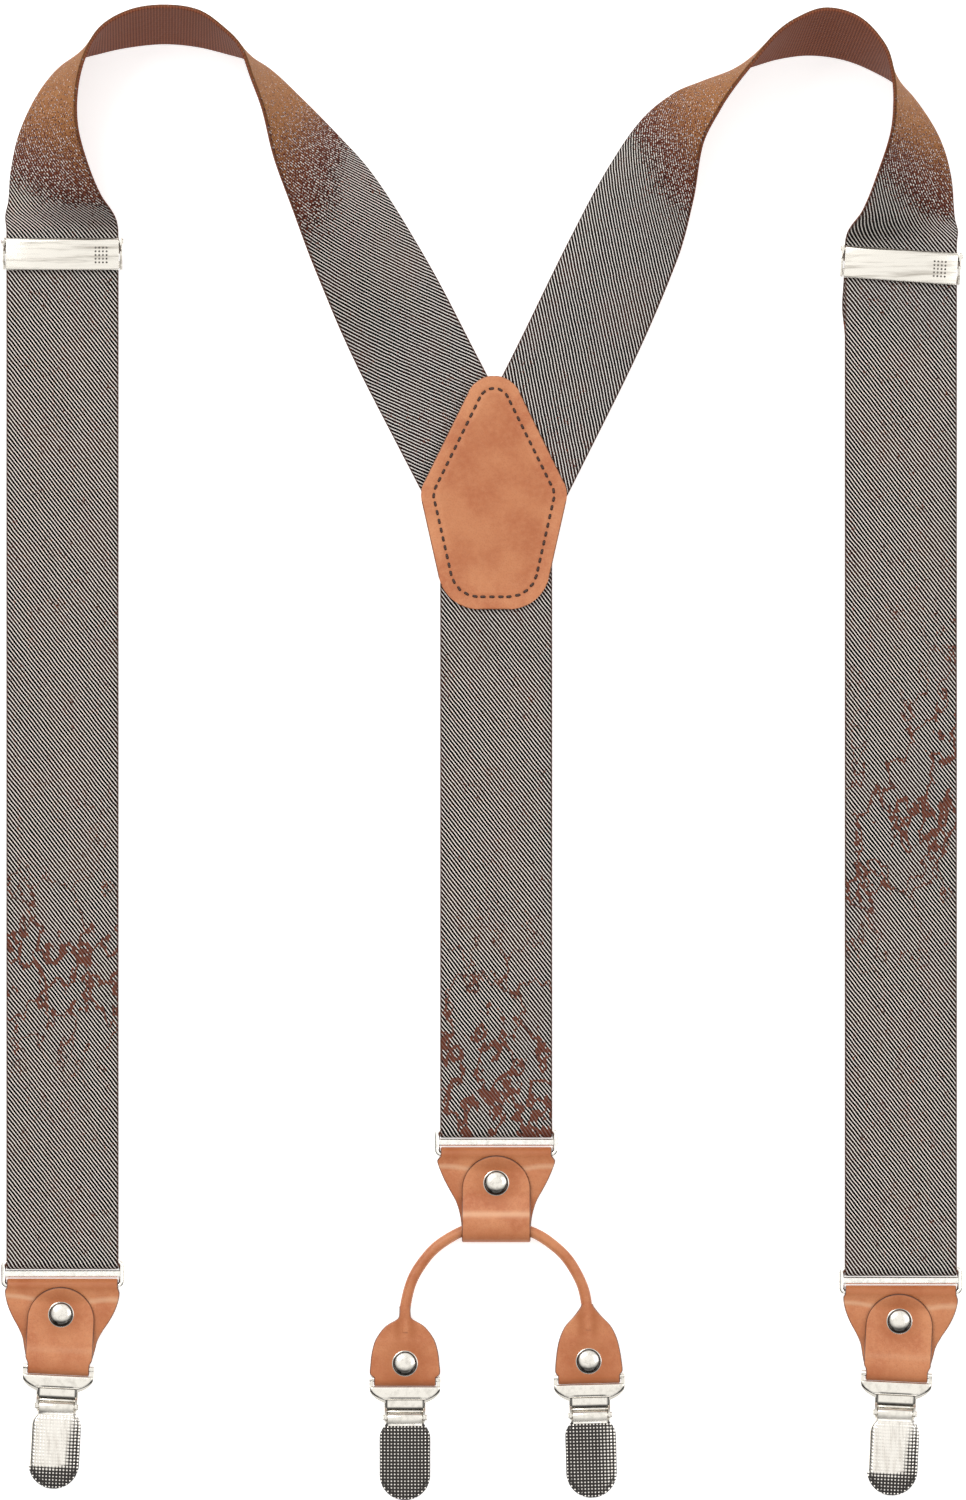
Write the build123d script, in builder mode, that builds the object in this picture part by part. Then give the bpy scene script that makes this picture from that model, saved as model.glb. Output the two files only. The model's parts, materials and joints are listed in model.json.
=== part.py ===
from build123d import *
import os
from math import cos, hypot, radians, sin, sqrt

# Y-back elastic suspenders laid flat, front up. Millimetres, +Z up, +Y towards the shoulders.
# The two shoulder loops stand on their outer edges. Everything else lies on the table, z = 0.
# The origin is on the table, at the middle of the whole outline.

os.makedirs("parts", exist_ok=True)

# ---------------------------------------------------------------- driving dimensions
WEB_W = 35.0            # elastic webbing, width
WEB_T = 1.3             # elastic webbing, thickness
LEATHER_T = 1.2         # leather, thickness
WIRE_R = 0.9            # steel wire of the rings and the clips' slot bars
RUN = 0.08              # radial clearance of a fold or knuckle on its bar or pin
GAP = 0.05              # clearance between flat layers that lie on each other

LEFT_X = -131.2         # centre lines of the three straps
RIGHT_X = 130.7
BACK_X = 4.3
LEFT_RING_Y = -159.1    # top bars of the three rings
RIGHT_RING_Y = -161.2
BACK_RING_Y = -118.0
LEFT_FLAT_Y = 162.5     # where each front strap starts to turn onto its edge
RIGHT_FLAT_Y = 158.5
LEFT_ADJUSTER_Y = 155.7
RIGHT_ADJUSTER_Y = 152.2
RIGHT_ADJUSTER_SKEW = -4.0

# heights of the layers
BAR_Z = WEB_T + RUN + WIRE_R            # centre of every wire that a strap is folded round
FOLD_R = WIRE_R + RUN                   # inside radius of such a fold
FRONT_Z = BAR_Z + FOLD_R                # underside of the front layer of webbing
YOKE_LOWER_Z = LEATHER_T                # lower layer of webbing inside the yoke
YOKE_UPPER_Z = YOKE_LOWER_Z + WEB_T + GAP
YOKE_FRONT_Z = YOKE_UPPER_Z + WEB_T + GAP

# rings: three bars in one loop of wire
RING_HALF_W = 18.45
RING_MID = 3.7          # top bar to middle bar
RING_DROP = 7.4         # top bar to bottom bar
RING_CORNER_R = 1.3
MID_BAR_H = 2.2

# leather tabs
TAB_DROP = 25.7         # ring's bottom bar to the slot bar of a front clip
TAB_LEAN = -2.8         # the front tabs and clips lean a little to the left
BACK_TAB_DROP = 24.5    # ring's bottom bar to the fold that carries the rear cord
RIVET_DROP = 9.0
RIVET_CAP_R = 4.05
RIVET_CAP_H = 1.35
RIVET_RIM_H = 0.25
RIVET_POST_R = 1.3
RIVET_HEAD_R = 3.2
RIVET_HEAD_T = 0.5
RIVET_HEAD_Z = 0.05
BACK_FLAP_Z = 0.55      # undersides of the three riveted layers
HIDE_Z = BACK_FLAP_Z + LEATHER_T + GAP
TONGUE_Z = HIDE_Z + LEATHER_T + GAP

# rear cord: a rolled leather cord whose flat ends are the leaf tabs of the rear clips
CORD_R = 1.75
CORD_Z = 3.05
CORD_ARC_R = 28.5
CORD_ARC_Y = -176.0
LEAF_DROP = 19.7        # end of the arc to the slot bar of a rear clip
LEAF_RIVET = 14.8
RIGHT_LEAF_LEAN = 1.5

# clips, measured down from the slot bar
SLOT_HALF_W = 10.0
LOOP_HALF_W = 11.1
LOOP_TOP = 2.5
LOOP_BOTTOM = 7.4
JAW_PIVOT = (-10.2, 2.3)
LEVER_PIVOT = (-12.0, 4.3)
PIN_R = 0.6
TRUNNION_R = 0.5
KNUCKLE_R = 1.4
JAW_W = 11.0
CLIP_W = 12.0
COVER_W = 15.8
COVER_TOP = 13.5
COVER_BOTTOM = 37.8


# ---------------------------------------------------------------- shared helpers
def frame_at(x, y, lean=0.0):
    """A horizontal plane on the table, turned by lean degrees about Z."""
    turn = radians(lean)
    return Plane(origin=(x, y, 0), x_dir=(cos(turn), sin(turn), 0), z_dir=(0, 0, 1))


def below(frame, drop, lean=0.0):
    """A frame further down the same strap, turned by a further lean."""
    origin = frame.from_local_coords(Vector(0, -drop, 0))
    spun = frame.x_dir.rotate(Axis.Z, lean)
    return Plane(origin=origin, x_dir=spun, z_dir=(0, 0, 1))


def side_of(frame):
    """The plane of a side profile: sketch x runs along the strap, sketch y is height."""
    return Plane(origin=frame.origin, x_dir=frame.y_dir, z_dir=frame.x_dir)


def save(piece, node):
    piece.part.label = node
    export_step(piece.part, f"parts/{node}.step")


def ribbon_section(edge_a, edge_b, forward):
    """The plane across a ribbon whose two edges pass through edge_a and edge_b."""
    across = (edge_b - edge_a).normalized()
    along = (forward - across * forward.dot(across)).normalized()
    return Plane(origin=(edge_a + edge_b) * 0.5, x_dir=across, z_dir=along)


def smooth(points, travel, first_way, last_way):
    """Points on a smooth curve through the given points, which lie at the given travels."""
    ways = [first_way]
    for n in range(1, len(points) - 1):
        ways.append((points[n + 1] - points[n - 1]) * (1 / (travel[n + 1] - travel[n - 1])))
    ways.append(last_way)
    curve = []
    for n in range(len(points) - 1):
        reach = travel[n + 1] - travel[n]
        for step in range(LOOP_STEPS):
            u = step / LOOP_STEPS
            curve.append(
                points[n] * (2 * u**3 - 3 * u**2 + 1)
                + ways[n] * (reach * (u**3 - 2 * u**2 + u))
                + points[n + 1] * (3 * u**2 - 2 * u**3)
                + ways[n + 1] * (reach * (u**3 - u**2))
            )
    return curve + [points[-1]]


def loop_sections(stations, start_z, end_z):
    """Section planes of a webbing loop, which lies flat at its first and last stations.

    A station is the plan position of the outer edge, which rests on the table, and of the inner
    edge, which stands as high as the webbing's width allows. Each edge is a smooth curve through
    its stations, with the same number of sections between each two.
    """
    edges = []
    for (ax, ay), (bx, by) in stations:
        span = min(hypot(bx - ax, by - ay), WEB_W)
        low = 0.5 * WEB_T * span / WEB_W + 3 * GAP
        edges.append((Vector(ax, ay, low), Vector(bx, by, low + sqrt(WEB_W**2 - span**2))))
    for place, height in ((0, start_z), (-1, end_z)):
        a, b = edges[place]
        edges[place] = (Vector(a.X, a.Y, height), Vector(b.X, b.Y, height))
    middles = [(a + b) * 0.5 for a, b in edges]
    travel = [0.0]
    for here, there in zip(middles, middles[1:]):
        travel.append(travel[-1] + (there - here).length)
    up, down = Vector(0, 1, 0), across_flat(*edges[-1])
    outer = smooth([a for a, _ in edges], travel, up, down)
    inner = smooth([b for _, b in edges], travel, up, down)
    middle = [(a + b) * 0.5 for a, b in zip(outer, inner)]
    ways = [there - here for here, there in zip(middle, middle[2:])]
    return [ribbon_section(*trio) for trio in zip(outer, inner, [up, *ways, down])]


def across_flat(edge_a, edge_b):
    """The horizontal direction at right angles to the line between two edges, going down."""
    across = (edge_b - edge_a).normalized()
    way = across.cross(Vector(0, 0, 1))
    return way if way.Y < 0 else way * -1


def yoke_end(stations, cut_y):
    """Plan outline of a strap's flat end, from its last station to a level cut in the yoke."""
    a, b = (Vector(*point) for point in stations[-1])
    way = across_flat(a, b)
    a_end = a + way * ((cut_y - a.Y) / way.Y)
    b_end = b + way * ((cut_y - b.Y) / way.Y)
    return [(p.X, p.Y) for p in (a, a_end, b_end, b)]


# ---------------------------------------------------------------- straps
LEFT_LOOP = [
    ((LEFT_X - WEB_W / 2, LEFT_FLAT_Y), (LEFT_X + WEB_W / 2, LEFT_FLAT_Y)),
    ((-148.2, 172.0), (-118.8, 173.5)),
    ((-147.2, 182.0), (-123.2, 184.0)),
    ((-144.3, 194.0), (-126.2, 195.5)),
    ((-137.7, 207.0), (-126.1, 207.5)),
    ((-129.5, 215.6), (-123.3, 218.0)),
    ((-119.3, 218.9), (-118.3, 226.0)),
    ((-109.5, 220.9), (-109.3, 231.0)),
    ((-99.2, 221.8), (-98.8, 232.4)),
    ((-89.0, 220.9), (-88.4, 230.8)),
    ((-79.3, 218.6), (-80.4, 225.2)),
    ((-72.0, 216.4), (-75.2, 219.4)),
    ((-66.0, 212.8), (-71.9, 210.5)),
    ((-56.9, 204.4), (-68.2, 200.0)),
    ((-46.4, 194.0), (-64.8, 185.5)),
    ((-35.3, 181.9), (-59.3, 170.0)),
    ((-23.1, 163.5), (-52.1, 150.5)),
    ((-2.2, 125.0), (-33.2, 108.9)),
]
RIGHT_LOOP = [
    ((RIGHT_X + WEB_W / 2, RIGHT_FLAT_Y), (RIGHT_X - WEB_W / 2, RIGHT_FLAT_Y)),
    ((147.6, 167.0), (118.3, 168.5)),
    ((146.3, 180.0), (123.6, 181.5)),
    ((143.0, 191.0), (127.3, 193.0)),
    ((137.2, 200.8), (128.3, 203.0)),
    ((130.7, 208.2), (127.7, 211.5)),
    ((121.9, 213.4), (125.1, 220.2)),
    ((112.5, 216.9), (117.2, 228.8)),
    ((102.0, 218.2), (106.9, 231.6)),
    ((92.5, 217.1), (97.6, 228.2)),
    ((84.5, 214.8), (91.2, 223.3)),
    ((76.8, 212.2), (84.6, 215.4)),
    ((68.2, 209.2), (78.4, 207.5)),
    ((60.0, 205.8), (73.9, 200.5)),
    ((50.4, 198.2), (68.5, 189.5)),
    ((40.4, 184.4), (65.6, 172.0)),
    ((30.6, 167.0), (60.3, 152.5)),
    ((9.8, 125.0), (41.1, 109.3)),
]
LOOP_STEPS = 3          # facets of a shoulder loop between each two stations
STRAP_CUT_Y = 77.0      # the front straps end here inside the yoke, and the back strap below it
WEB_FOLD_MID = FOLD_R + WEB_T / 2


def front_strap(ring_frame, flat_y, stations, yoke_z):
    """Webbing from the fold round the ring's top bar, over the shoulder, into the yoke."""
    middle = WEB_T / 2
    with BuildPart() as strap:
        for plane in loop_sections(stations, FRONT_Z + middle, yoke_z + middle):
            with BuildSketch(plane):
                Rectangle(WEB_W, WEB_T)
        loft(ruled=True)
        with BuildSketch(Plane.XY.offset(yoke_z)):
            with BuildLine():
                Polyline(*yoke_end(stations, STRAP_CUT_Y), close=True)
            make_face()
        extrude(amount=WEB_T)
        with BuildSketch(side_of(ring_frame)):
            with BuildLine():
                fold = JernArc(start=(0, middle), tangent=(-1, 0), radius=WEB_FOLD_MID, arc_size=-180)
                Line(fold @ 1, (flat_y - ring_frame.origin.Y, FRONT_Z + middle))
            trace(line_width=WEB_T)
        extrude(amount=WEB_W / 2, both=True)
    return strap


def strap_return(ring_frame, seam_y):
    """The layer that comes back up from the ring, under the front layer, to the adjuster."""
    length = seam_y - ring_frame.origin.Y
    with BuildPart() as layer:
        with BuildSketch(side_of(ring_frame)):
            with Locations((length / 2, WEB_T / 2)):
                Rectangle(length, WEB_T)
        extrude(amount=WEB_W / 2, both=True)
    return layer


left_ring_frame = frame_at(LEFT_X, LEFT_RING_Y)
right_ring_frame = frame_at(RIGHT_X, RIGHT_RING_Y)
back_ring_frame = frame_at(BACK_X, BACK_RING_Y)
SEAM_DROP = 22.0        # adjuster's middle to the seam that closes its loop of webbing

left_strap = front_strap(left_ring_frame, LEFT_FLAT_Y, LEFT_LOOP, YOKE_LOWER_Z)
save(left_strap, "left_strap")
right_strap = front_strap(right_ring_frame, RIGHT_FLAT_Y, RIGHT_LOOP, YOKE_UPPER_Z)
save(right_strap, "right_strap")
left_strap_return = strap_return(left_ring_frame, LEFT_ADJUSTER_Y - SEAM_DROP)
save(left_strap_return, "left_strap_return")
right_strap_return = strap_return(right_ring_frame, RIGHT_ADJUSTER_Y - SEAM_DROP)
save(right_strap_return, "right_strap_return")

# the back strap is doubled: both ends are sewn into the yoke, and the bight holds the ring
BACK_STRAP_END = STRAP_CUT_Y - 0.5 - BACK_RING_Y
BACK_LEVEL_Z = WEB_T * 1.5 + GAP
YOKE_MOUTH = 146.0      # ring's top bar to where the layers rise into the yoke
with BuildPart() as back_strap:
    with BuildSketch(side_of(back_ring_frame)):
        with BuildLine():
            lower = FilletPolyline(
                (BACK_STRAP_END, YOKE_LOWER_Z + WEB_T / 2),
                (YOKE_MOUTH + 14, YOKE_LOWER_Z + WEB_T / 2),
                (YOKE_MOUTH, WEB_T / 2),
                (0, WEB_T / 2),
                radius=8,
            )
            bight = JernArc(start=lower @ 1, tangent=(-1, 0), radius=WEB_FOLD_MID, arc_size=-180)
            FilletPolyline(
                bight @ 1,
                (4, FRONT_Z + WEB_T / 2),
                (14, BACK_LEVEL_Z),
                (YOKE_MOUTH, BACK_LEVEL_Z),
                (YOKE_MOUTH + 14, YOKE_UPPER_Z + WEB_T / 2),
                (BACK_STRAP_END, YOKE_UPPER_Z + WEB_T / 2),
                radius=8,
            )
        trace(line_width=WEB_T)
    extrude(amount=WEB_W / 2, both=True)
save(back_strap, "back_strap")

# ---------------------------------------------------------------- yoke
YOKE_X = 3.6
YOKE_TOP = 128.9        # where the two upper sides would meet
YOKE_SIDE = (23.3, 81.6)
YOKE_FOOT = (15.0, 44.7)
YOKE_APEX_R = 8.8
YOKE_SIDE_R = 9.0
YOKE_FOOT_R = 13.0
YOKE_EDGE_R = 0.4
STITCH_INSET = 4.0
STITCH_PITCH = 2.8
STITCH_L = 2.0
STITCH_W = 0.55
STITCH_H = 0.3


def yoke_outline():
    """The yoke's rounded six-sided outline, as a sketch face."""
    with BuildSketch() as outline:
        with BuildLine():
            Polyline(
                (YOKE_X, YOKE_TOP),
                (YOKE_X + YOKE_SIDE[0], YOKE_SIDE[1]),
                (YOKE_X + YOKE_FOOT[0], YOKE_FOOT[1]),
                (YOKE_X - YOKE_FOOT[0], YOKE_FOOT[1]),
                (YOKE_X - YOKE_SIDE[0], YOKE_SIDE[1]),
                close=True,
            )
        make_face()
        rows = outline.vertices().group_by(Axis.Y)
        fillet(rows[0], YOKE_FOOT_R)
        rows = outline.vertices().sort_by(Axis.X)
        fillet([rows[0], rows[-1]], YOKE_SIDE_R)
        fillet(outline.vertices().sort_by(Axis.Y)[-1], YOKE_APEX_R)
    return outline.sketch


with BuildPart() as yoke_back:
    with BuildSketch():
        add(yoke_outline())
    extrude(amount=LEATHER_T)
save(yoke_back, "yoke_back")

with BuildPart() as yoke_front:
    with BuildSketch(Plane.XY.offset(YOKE_FRONT_Z)):
        add(yoke_outline())
    extrude(amount=LEATHER_T)
    fillet(yoke_front.faces().sort_by(Axis.Z)[-1].edges(), YOKE_EDGE_R)
save(yoke_front, "yoke_front")

seam = offset(yoke_outline(), amount=-STITCH_INSET).wires()[0]
stitch_count = round(seam.length / STITCH_PITCH)
YOKE_TOP_Z = YOKE_FRONT_Z + LEATHER_T
with BuildPart() as yoke_thread:
    for n in range(stitch_count):
        spot = seam @ (n / stitch_count)
        way = seam % (n / stitch_count)
        with BuildSketch(Plane(origin=(spot.X, spot.Y, YOKE_TOP_Z), x_dir=way, z_dir=(0, 0, 1))):
            SlotOverall(STITCH_L, STITCH_W)
    extrude(amount=STITCH_H)
save(yoke_thread, "yoke_thread")


# ---------------------------------------------------------------- rings
def wire_ring(frame):
    """One loop of wire with a flat middle bar; the frame is under the middle of its top bar."""
    with BuildPart() as ring:
        with BuildLine(frame.offset(BAR_Z)) as loop:
            corners = [
                (-RING_HALF_W, 0),
                (RING_HALF_W, 0),
                (RING_HALF_W, -RING_DROP),
                (-RING_HALF_W, -RING_DROP),
            ]
            FilletPolyline(*corners, radius=RING_CORNER_R, close=True)
        start = loop.line @ 0
        with BuildSketch(Plane(origin=start, z_dir=loop.line % 0)):
            Circle(WIRE_R)
        sweep(path=loop.wire())
        with BuildSketch(side_of(frame)):
            with Locations((-RING_MID, BAR_Z)):
                RectangleRounded(MID_BAR_H, 2 * WIRE_R - 0.3, 0.6)
        extrude(amount=RING_HALF_W, both=True)
    return ring


for node, frame in (
    ("left_ring", left_ring_frame),
    ("right_ring", right_ring_frame),
    ("back_ring", back_ring_frame),
):
    save(wire_ring(frame), node)

# ---------------------------------------------------------------- adjusters
EAR_IN = 18.0
EAR_T = 0.7
END_BAR = (-4.4, -2.0)      # the loop of webbing goes round this bar
END_BAR_Z = (1.33, 1.87)
ANVIL = (0.2, 5.2)          # the bar behind the front layer of webbing
ANVIL_Z = (2.2, FRONT_Z - 0.06)
HINGE_Y = 4.0
HINGE_Z = 5.65
HINGE_R = 1.0
HINGE_PIN_R = 0.5
PLATE_W = 35.3
PLATE_H = 10.0
PLATE_T = 0.8
LIP_T = 0.7
PRESS_Y = 2.2               # the rib that presses the webbing onto the anvil
PRESS_T = 0.7
PRESS_GAP = 0.16
PIN_HEAD = 0.4              # how far a pin's head stands out beyond its hole and its ear
FLAP_L = 16.0
END_SEAM_ROWS = (12.0, 16.0)
END_STITCHES = 8
END_STITCH_PITCH = 4.0
THREAD_R = 0.3


def adjuster_frame(frame):
    """Stamped frame: two cross bars between ears that carry the hinge pin."""
    with BuildPart() as body:
        with BuildSketch(side_of(frame)):
            for (y0, y1), (z0, z1) in ((END_BAR, END_BAR_Z), (ANVIL, ANVIL_Z)):
                with Locations(((y0 + y1) / 2, (z0 + z1) / 2)):
                    Rectangle(y1 - y0, z1 - z0)
        extrude(amount=EAR_IN, both=True)
        for x in (-EAR_IN - EAR_T, EAR_IN):
            spot = frame.from_local_coords(Vector(x, 0, 0))
            with BuildSketch(Plane(origin=spot, x_dir=frame.y_dir, z_dir=frame.x_dir)):
                with BuildLine():
                    Polyline(
                        (END_BAR[0] - 0.4, END_BAR_Z[0]),
                        (ANVIL[1], END_BAR_Z[0]),
                        (ANVIL[1], HINGE_Z + 0.9),
                        (HINGE_Y - 1.4, HINGE_Z + 0.9),
                        (HINGE_Y - 3.0, ANVIL_Z[1]),
                        (END_BAR[0] - 0.4, ANVIL_Z[1]),
                        close=True,
                    )
                make_face()
                with Locations((HINGE_Y, HINGE_Z)):
                    Circle(HINGE_PIN_R, mode=Mode.SUBTRACT)
            extrude(amount=EAR_T)
    return body


def adjuster_pin(frame):
    """Hinge pin, held in both ears, with a small head outside each."""
    with BuildPart() as pin:
        with BuildSketch(side_of(frame)):
            with Locations((HINGE_Y, HINGE_Z)):
                Circle(HINGE_PIN_R)
        extrude(amount=EAR_IN + EAR_T, both=True)
        for x in (-EAR_IN - EAR_T - PIN_HEAD, EAR_IN + EAR_T):
            spot = frame.from_local_coords(Vector(x, 0, 0))
            with BuildSketch(Plane(origin=spot, x_dir=frame.y_dir, z_dir=frame.x_dir)):
                with Locations((HINGE_Y, HINGE_Z)):
                    Circle(HINGE_PIN_R + 0.3)
            extrude(amount=PIN_HEAD)
    return pin


def adjuster_lever(frame):
    """Hinged cover plate, with a rib of teeth that presses the webbing onto the anvil."""
    plate_top = HINGE_Z + HINGE_R
    with BuildPart() as lever:
        with BuildSketch(side_of(frame)):
            with Locations(((HINGE_Y - PLATE_H / 2) / 2, plate_top - PLATE_T / 2)):
                Rectangle(HINGE_Y + PLATE_H / 2, PLATE_T)
            with Locations((HINGE_Y, HINGE_Z)):
                Circle(HINGE_R)
            with Locations((-PLATE_H / 2 + LIP_T / 2, plate_top - 0.8)):
                Rectangle(LIP_T, 1.6)
            with Locations((PRESS_Y, (FRONT_Z + WEB_T + plate_top) / 2)):
                Rectangle(PRESS_T, plate_top - FRONT_Z - WEB_T - PRESS_GAP)
            with Locations((HINGE_Y, HINGE_Z)):
                Circle(HINGE_PIN_R + RUN, mode=Mode.SUBTRACT)
        extrude(amount=PLATE_W / 2, both=True)
        edge = lever.edges().filter_by(lambda e: abs((e @ 0.5).Z - plate_top) < 0.01)
        front = frame.from_local_coords(Vector(0, -PLATE_H / 2, plate_top))
        fillet(edge.sort_by_distance(front)[0], 0.5)
    return lever


def strap_end(frame, seam_y):
    """The sewn end of the webbing: round the adjuster's end bar and back on itself."""
    fold_mid = (END_BAR_Z[1] + 0.03) / 2
    turn = END_BAR[1]
    with BuildPart() as loop:
        with BuildSketch(side_of(frame)):
            with BuildLine():
                lower = Line((-SEAM_DROP - 3, WEB_T / 2), (turn, WEB_T / 2))
                bend = JernArc(start=lower @ 1, tangent=(1, 0), radius=fold_mid, arc_size=180)
                Line(bend @ 1, (turn - FLAP_L, WEB_T / 2 + 2 * fold_mid))
            trace(line_width=WEB_T)
        extrude(amount=WEB_W / 2, both=True)
        with BuildSketch(Plane.XY.offset(-1)):
            with Locations((frame.origin.X, seam_y - 10)):
                Rectangle(2 * WEB_W, 20)
        extrude(amount=8, mode=Mode.SUBTRACT)
        for drop in END_SEAM_ROWS:
            with BuildSketch(below(frame, drop)):
                with GridLocations(END_STITCH_PITCH, 1, END_STITCHES, 1):
                    Circle(THREAD_R)
            extrude(amount=6, both=True, mode=Mode.SUBTRACT)
    return loop


def end_stitches(frame):
    """Two rows of thread that close the loop of webbing."""
    with BuildPart() as thread:
        for drop in END_SEAM_ROWS:
            with BuildSketch(below(frame, drop).offset(0.1)):
                with GridLocations(END_STITCH_PITCH, 1, END_STITCHES, 1):
                    Circle(THREAD_R)
        extrude(amount=3.0)
    return thread


for side, frame in (
    ("left", frame_at(LEFT_X, LEFT_ADJUSTER_Y)),
    ("right", frame_at(RIGHT_X, RIGHT_ADJUSTER_Y, RIGHT_ADJUSTER_SKEW)),
):
    save(adjuster_frame(frame), f"{side}_adjuster_frame")
    save(adjuster_pin(frame), f"{side}_adjuster_pin")
    save(adjuster_lever(frame), f"{side}_adjuster_lever")
    save(strap_end(frame, frame.origin.Y - SEAM_DROP), f"{side}_strap_end")
    save(end_stitches(frame), f"{side}_strap_end_thread")

# ---------------------------------------------------------------- leather tabs
TAB_FOLD_MID = FOLD_R + LEATHER_T / 2
HIDE_MID = HIDE_Z + LEATHER_T / 2
TONGUE_MID = TONGUE_Z + LEATHER_T / 2
FLAP_MID = BACK_FLAP_Z + LEATHER_T / 2
LEVEL_START = -4.75     # the riveted layers are level from here
LEVEL_END = -13.5       # to here
TONGUE_TOP = 0.4        # ring's bottom bar to the round end of the tongue
TONGUE_RISE = 1.63      # the tongue's end rides up over the fold round the bar


def tab_outline(half_widths, lean):
    """Plan outline of a tab, from its half widths at distances down from the ring's bar."""
    turn = radians(lean)
    sides = [(w, -d) for d, w in half_widths]
    leant = [
        (x * cos(turn) - y * sin(turn), x * sin(turn) + y * cos(turn)) if y < -3 else (x, y)
        for x, y in sides
    ]
    mirrored = [
        (-x * cos(turn) - y * sin(turn), -x * sin(turn) + y * cos(turn)) if y < -3 else (-x, y)
        for x, y in sides
    ]
    return leant + mirrored[::-1]


def tongue_outline(frame, drop, half_w, foot_half_w):
    """Sketch of the round-topped tongue, in the leaning frame."""
    with BuildSketch(frame) as outline:
        with BuildLine():
            Polyline(
                (-half_w, -half_w - TONGUE_TOP),
                (-half_w, -drop + 2.6),
                (-foot_half_w, -drop + 1.1),
                (-foot_half_w, -drop - 4),
                (foot_half_w, -drop - 4),
                (foot_half_w, -drop + 1.1),
                (half_w, -drop + 2.6),
                (half_w, -half_w - TONGUE_TOP),
            )
            ThreePointArc(
                (half_w, -half_w - TONGUE_TOP),
                (0, -TONGUE_TOP),
                (-half_w, -half_w - TONGUE_TOP),
            )
        make_face()
    return outline.sketch


def tongue(frame, drop, foot_z, fold_mid, crest, half_w, foot_half_w):
    """The front layer: from the fold at the foot up over the rivet to a round end."""
    with BuildPart() as layer:
        with BuildSketch(side_of(frame)):
            with BuildLine():
                bend = JernArc(start=(-drop, foot_z), tangent=(-1, 0), radius=fold_mid, arc_size=-180)
                Polyline(
                    bend @ 1,
                    (-crest, foot_z + 2 * fold_mid),
                    (LEVEL_END, TONGUE_MID),
                    (LEVEL_START, TONGUE_MID),
                    (-TONGUE_TOP, TONGUE_MID + TONGUE_RISE),
                )
            trace(line_width=LEATHER_T)
        extrude(amount=WEB_W, both=True)
        add(
            extrude(tongue_outline(frame, drop, half_w, foot_half_w), amount=12, mode=Mode.PRIVATE),
            mode=Mode.INTERSECT,
        )
    return layer.part


def tab(bar_frame, lean, drop, foot_z, fold_mid, crest, foot_ramp, half_widths, half_w, foot_half_w):
    """One hourglass of leather: back flap, round the ring, down, round the foot, and up."""
    leaning = below(bar_frame, 0, lean)
    with BuildPart() as hide:
        with BuildSketch(side_of(bar_frame)):
            with BuildLine():
                flap = Polyline((-14.5, FLAP_MID), (-4.5, FLAP_MID), (-2.0, BAR_Z - TAB_FOLD_MID),
                                (0, BAR_Z - TAB_FOLD_MID))
                wrap = JernArc(start=flap @ 1, tangent=(1, 0), radius=TAB_FOLD_MID, arc_size=180)
                Polyline(wrap @ 1, (-0.6, BAR_Z + TAB_FOLD_MID), (-4.5, HIDE_MID), (-11, HIDE_MID))
            trace(line_width=LEATHER_T)
        extrude(amount=WEB_W, both=True)
        with BuildSketch(side_of(leaning)):
            with BuildLine():
                Polyline((-6, HIDE_MID), (LEVEL_END, HIDE_MID), (-foot_ramp, foot_z), (-drop, foot_z))
            trace(line_width=LEATHER_T)
        extrude(amount=WEB_W, both=True)
        with BuildSketch(bar_frame.offset(-1)):
            with BuildLine():
                Polyline(*tab_outline(half_widths, lean), close=True)
            make_face()
        extrude(amount=14, mode=Mode.INTERSECT)
        add(tongue(leaning, drop, foot_z, fold_mid, crest, half_w, foot_half_w))
        with BuildSketch(below(leaning, RIVET_DROP).offset(-1)):
            Circle(RIVET_POST_R + GAP)
        extrude(amount=14, mode=Mode.SUBTRACT)
    return hide


# (distance down from the ring's bottom bar, half width)
FRONT_TAB_WIDTHS = [
    (-2.6, 17.3),
    (0.6, 17.4),
    (1.8, 17.9),
    (4.2, 17.6),
    (7.3, 16.7),
    (10.4, 15.2),
    (13.5, 13.3),
    (16.6, 11.8),
    (19.8, 11.0),
    (22.6, 10.4),
    (24.2, 9.7),
    (30.0, 9.7),
]
BACK_TAB_WIDTHS = [
    (-2.6, 17.3),
    (0.6, 17.4),
    (1.8, 18.4),
    (3.5, 18.1),
    (7.9, 16.3),
    (11.3, 14.5),
    (15.0, 12.5),
    (19.7, 11.2),
    (24.0, 10.8),
    (30.0, 10.7),
]
CORD_FOLD_MID = CORD_R + 0.1 + LEATHER_T / 2

left_bar = below(left_ring_frame, RING_DROP)
right_bar = below(right_ring_frame, RING_DROP)
back_bar = below(back_ring_frame, RING_DROP)
for node, bar in (("left_tab", left_bar), ("right_tab", right_bar)):
    piece = tab(
        bar,
        TAB_LEAN,
        drop=TAB_DROP,
        foot_z=BAR_Z - TAB_FOLD_MID,
        fold_mid=TAB_FOLD_MID,
        crest=TAB_DROP - 1.0,
        foot_ramp=17.5,
        half_widths=FRONT_TAB_WIDTHS,
        half_w=10.5,
        foot_half_w=9.7,
    )
    save(piece, node)
back_tab = tab(
    back_bar,
    0.0,
    drop=BACK_TAB_DROP,
    foot_z=LEATHER_T / 2,
    fold_mid=CORD_FOLD_MID,
    crest=20.0,
    foot_ramp=18.5,
    half_widths=BACK_TAB_WIDTHS,
    half_w=10.7,
    foot_half_w=10.7,
)
save(back_tab, "back_tab")

# ---------------------------------------------------------------- rear cord
LEAF_TOP_MID = FRONT_Z + LEATHER_T / 2
LEAF_BACK_MID = BAR_Z - TAB_FOLD_MID
CORE_END = 10.0
LEAF_START = 1.0        # where a leaf's front layer begins on the cord
LEAF_BACK_TOP = -7.0    # where its back layer ends behind
LEAF_FILL_Y = (-17.0, -5.0)
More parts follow.
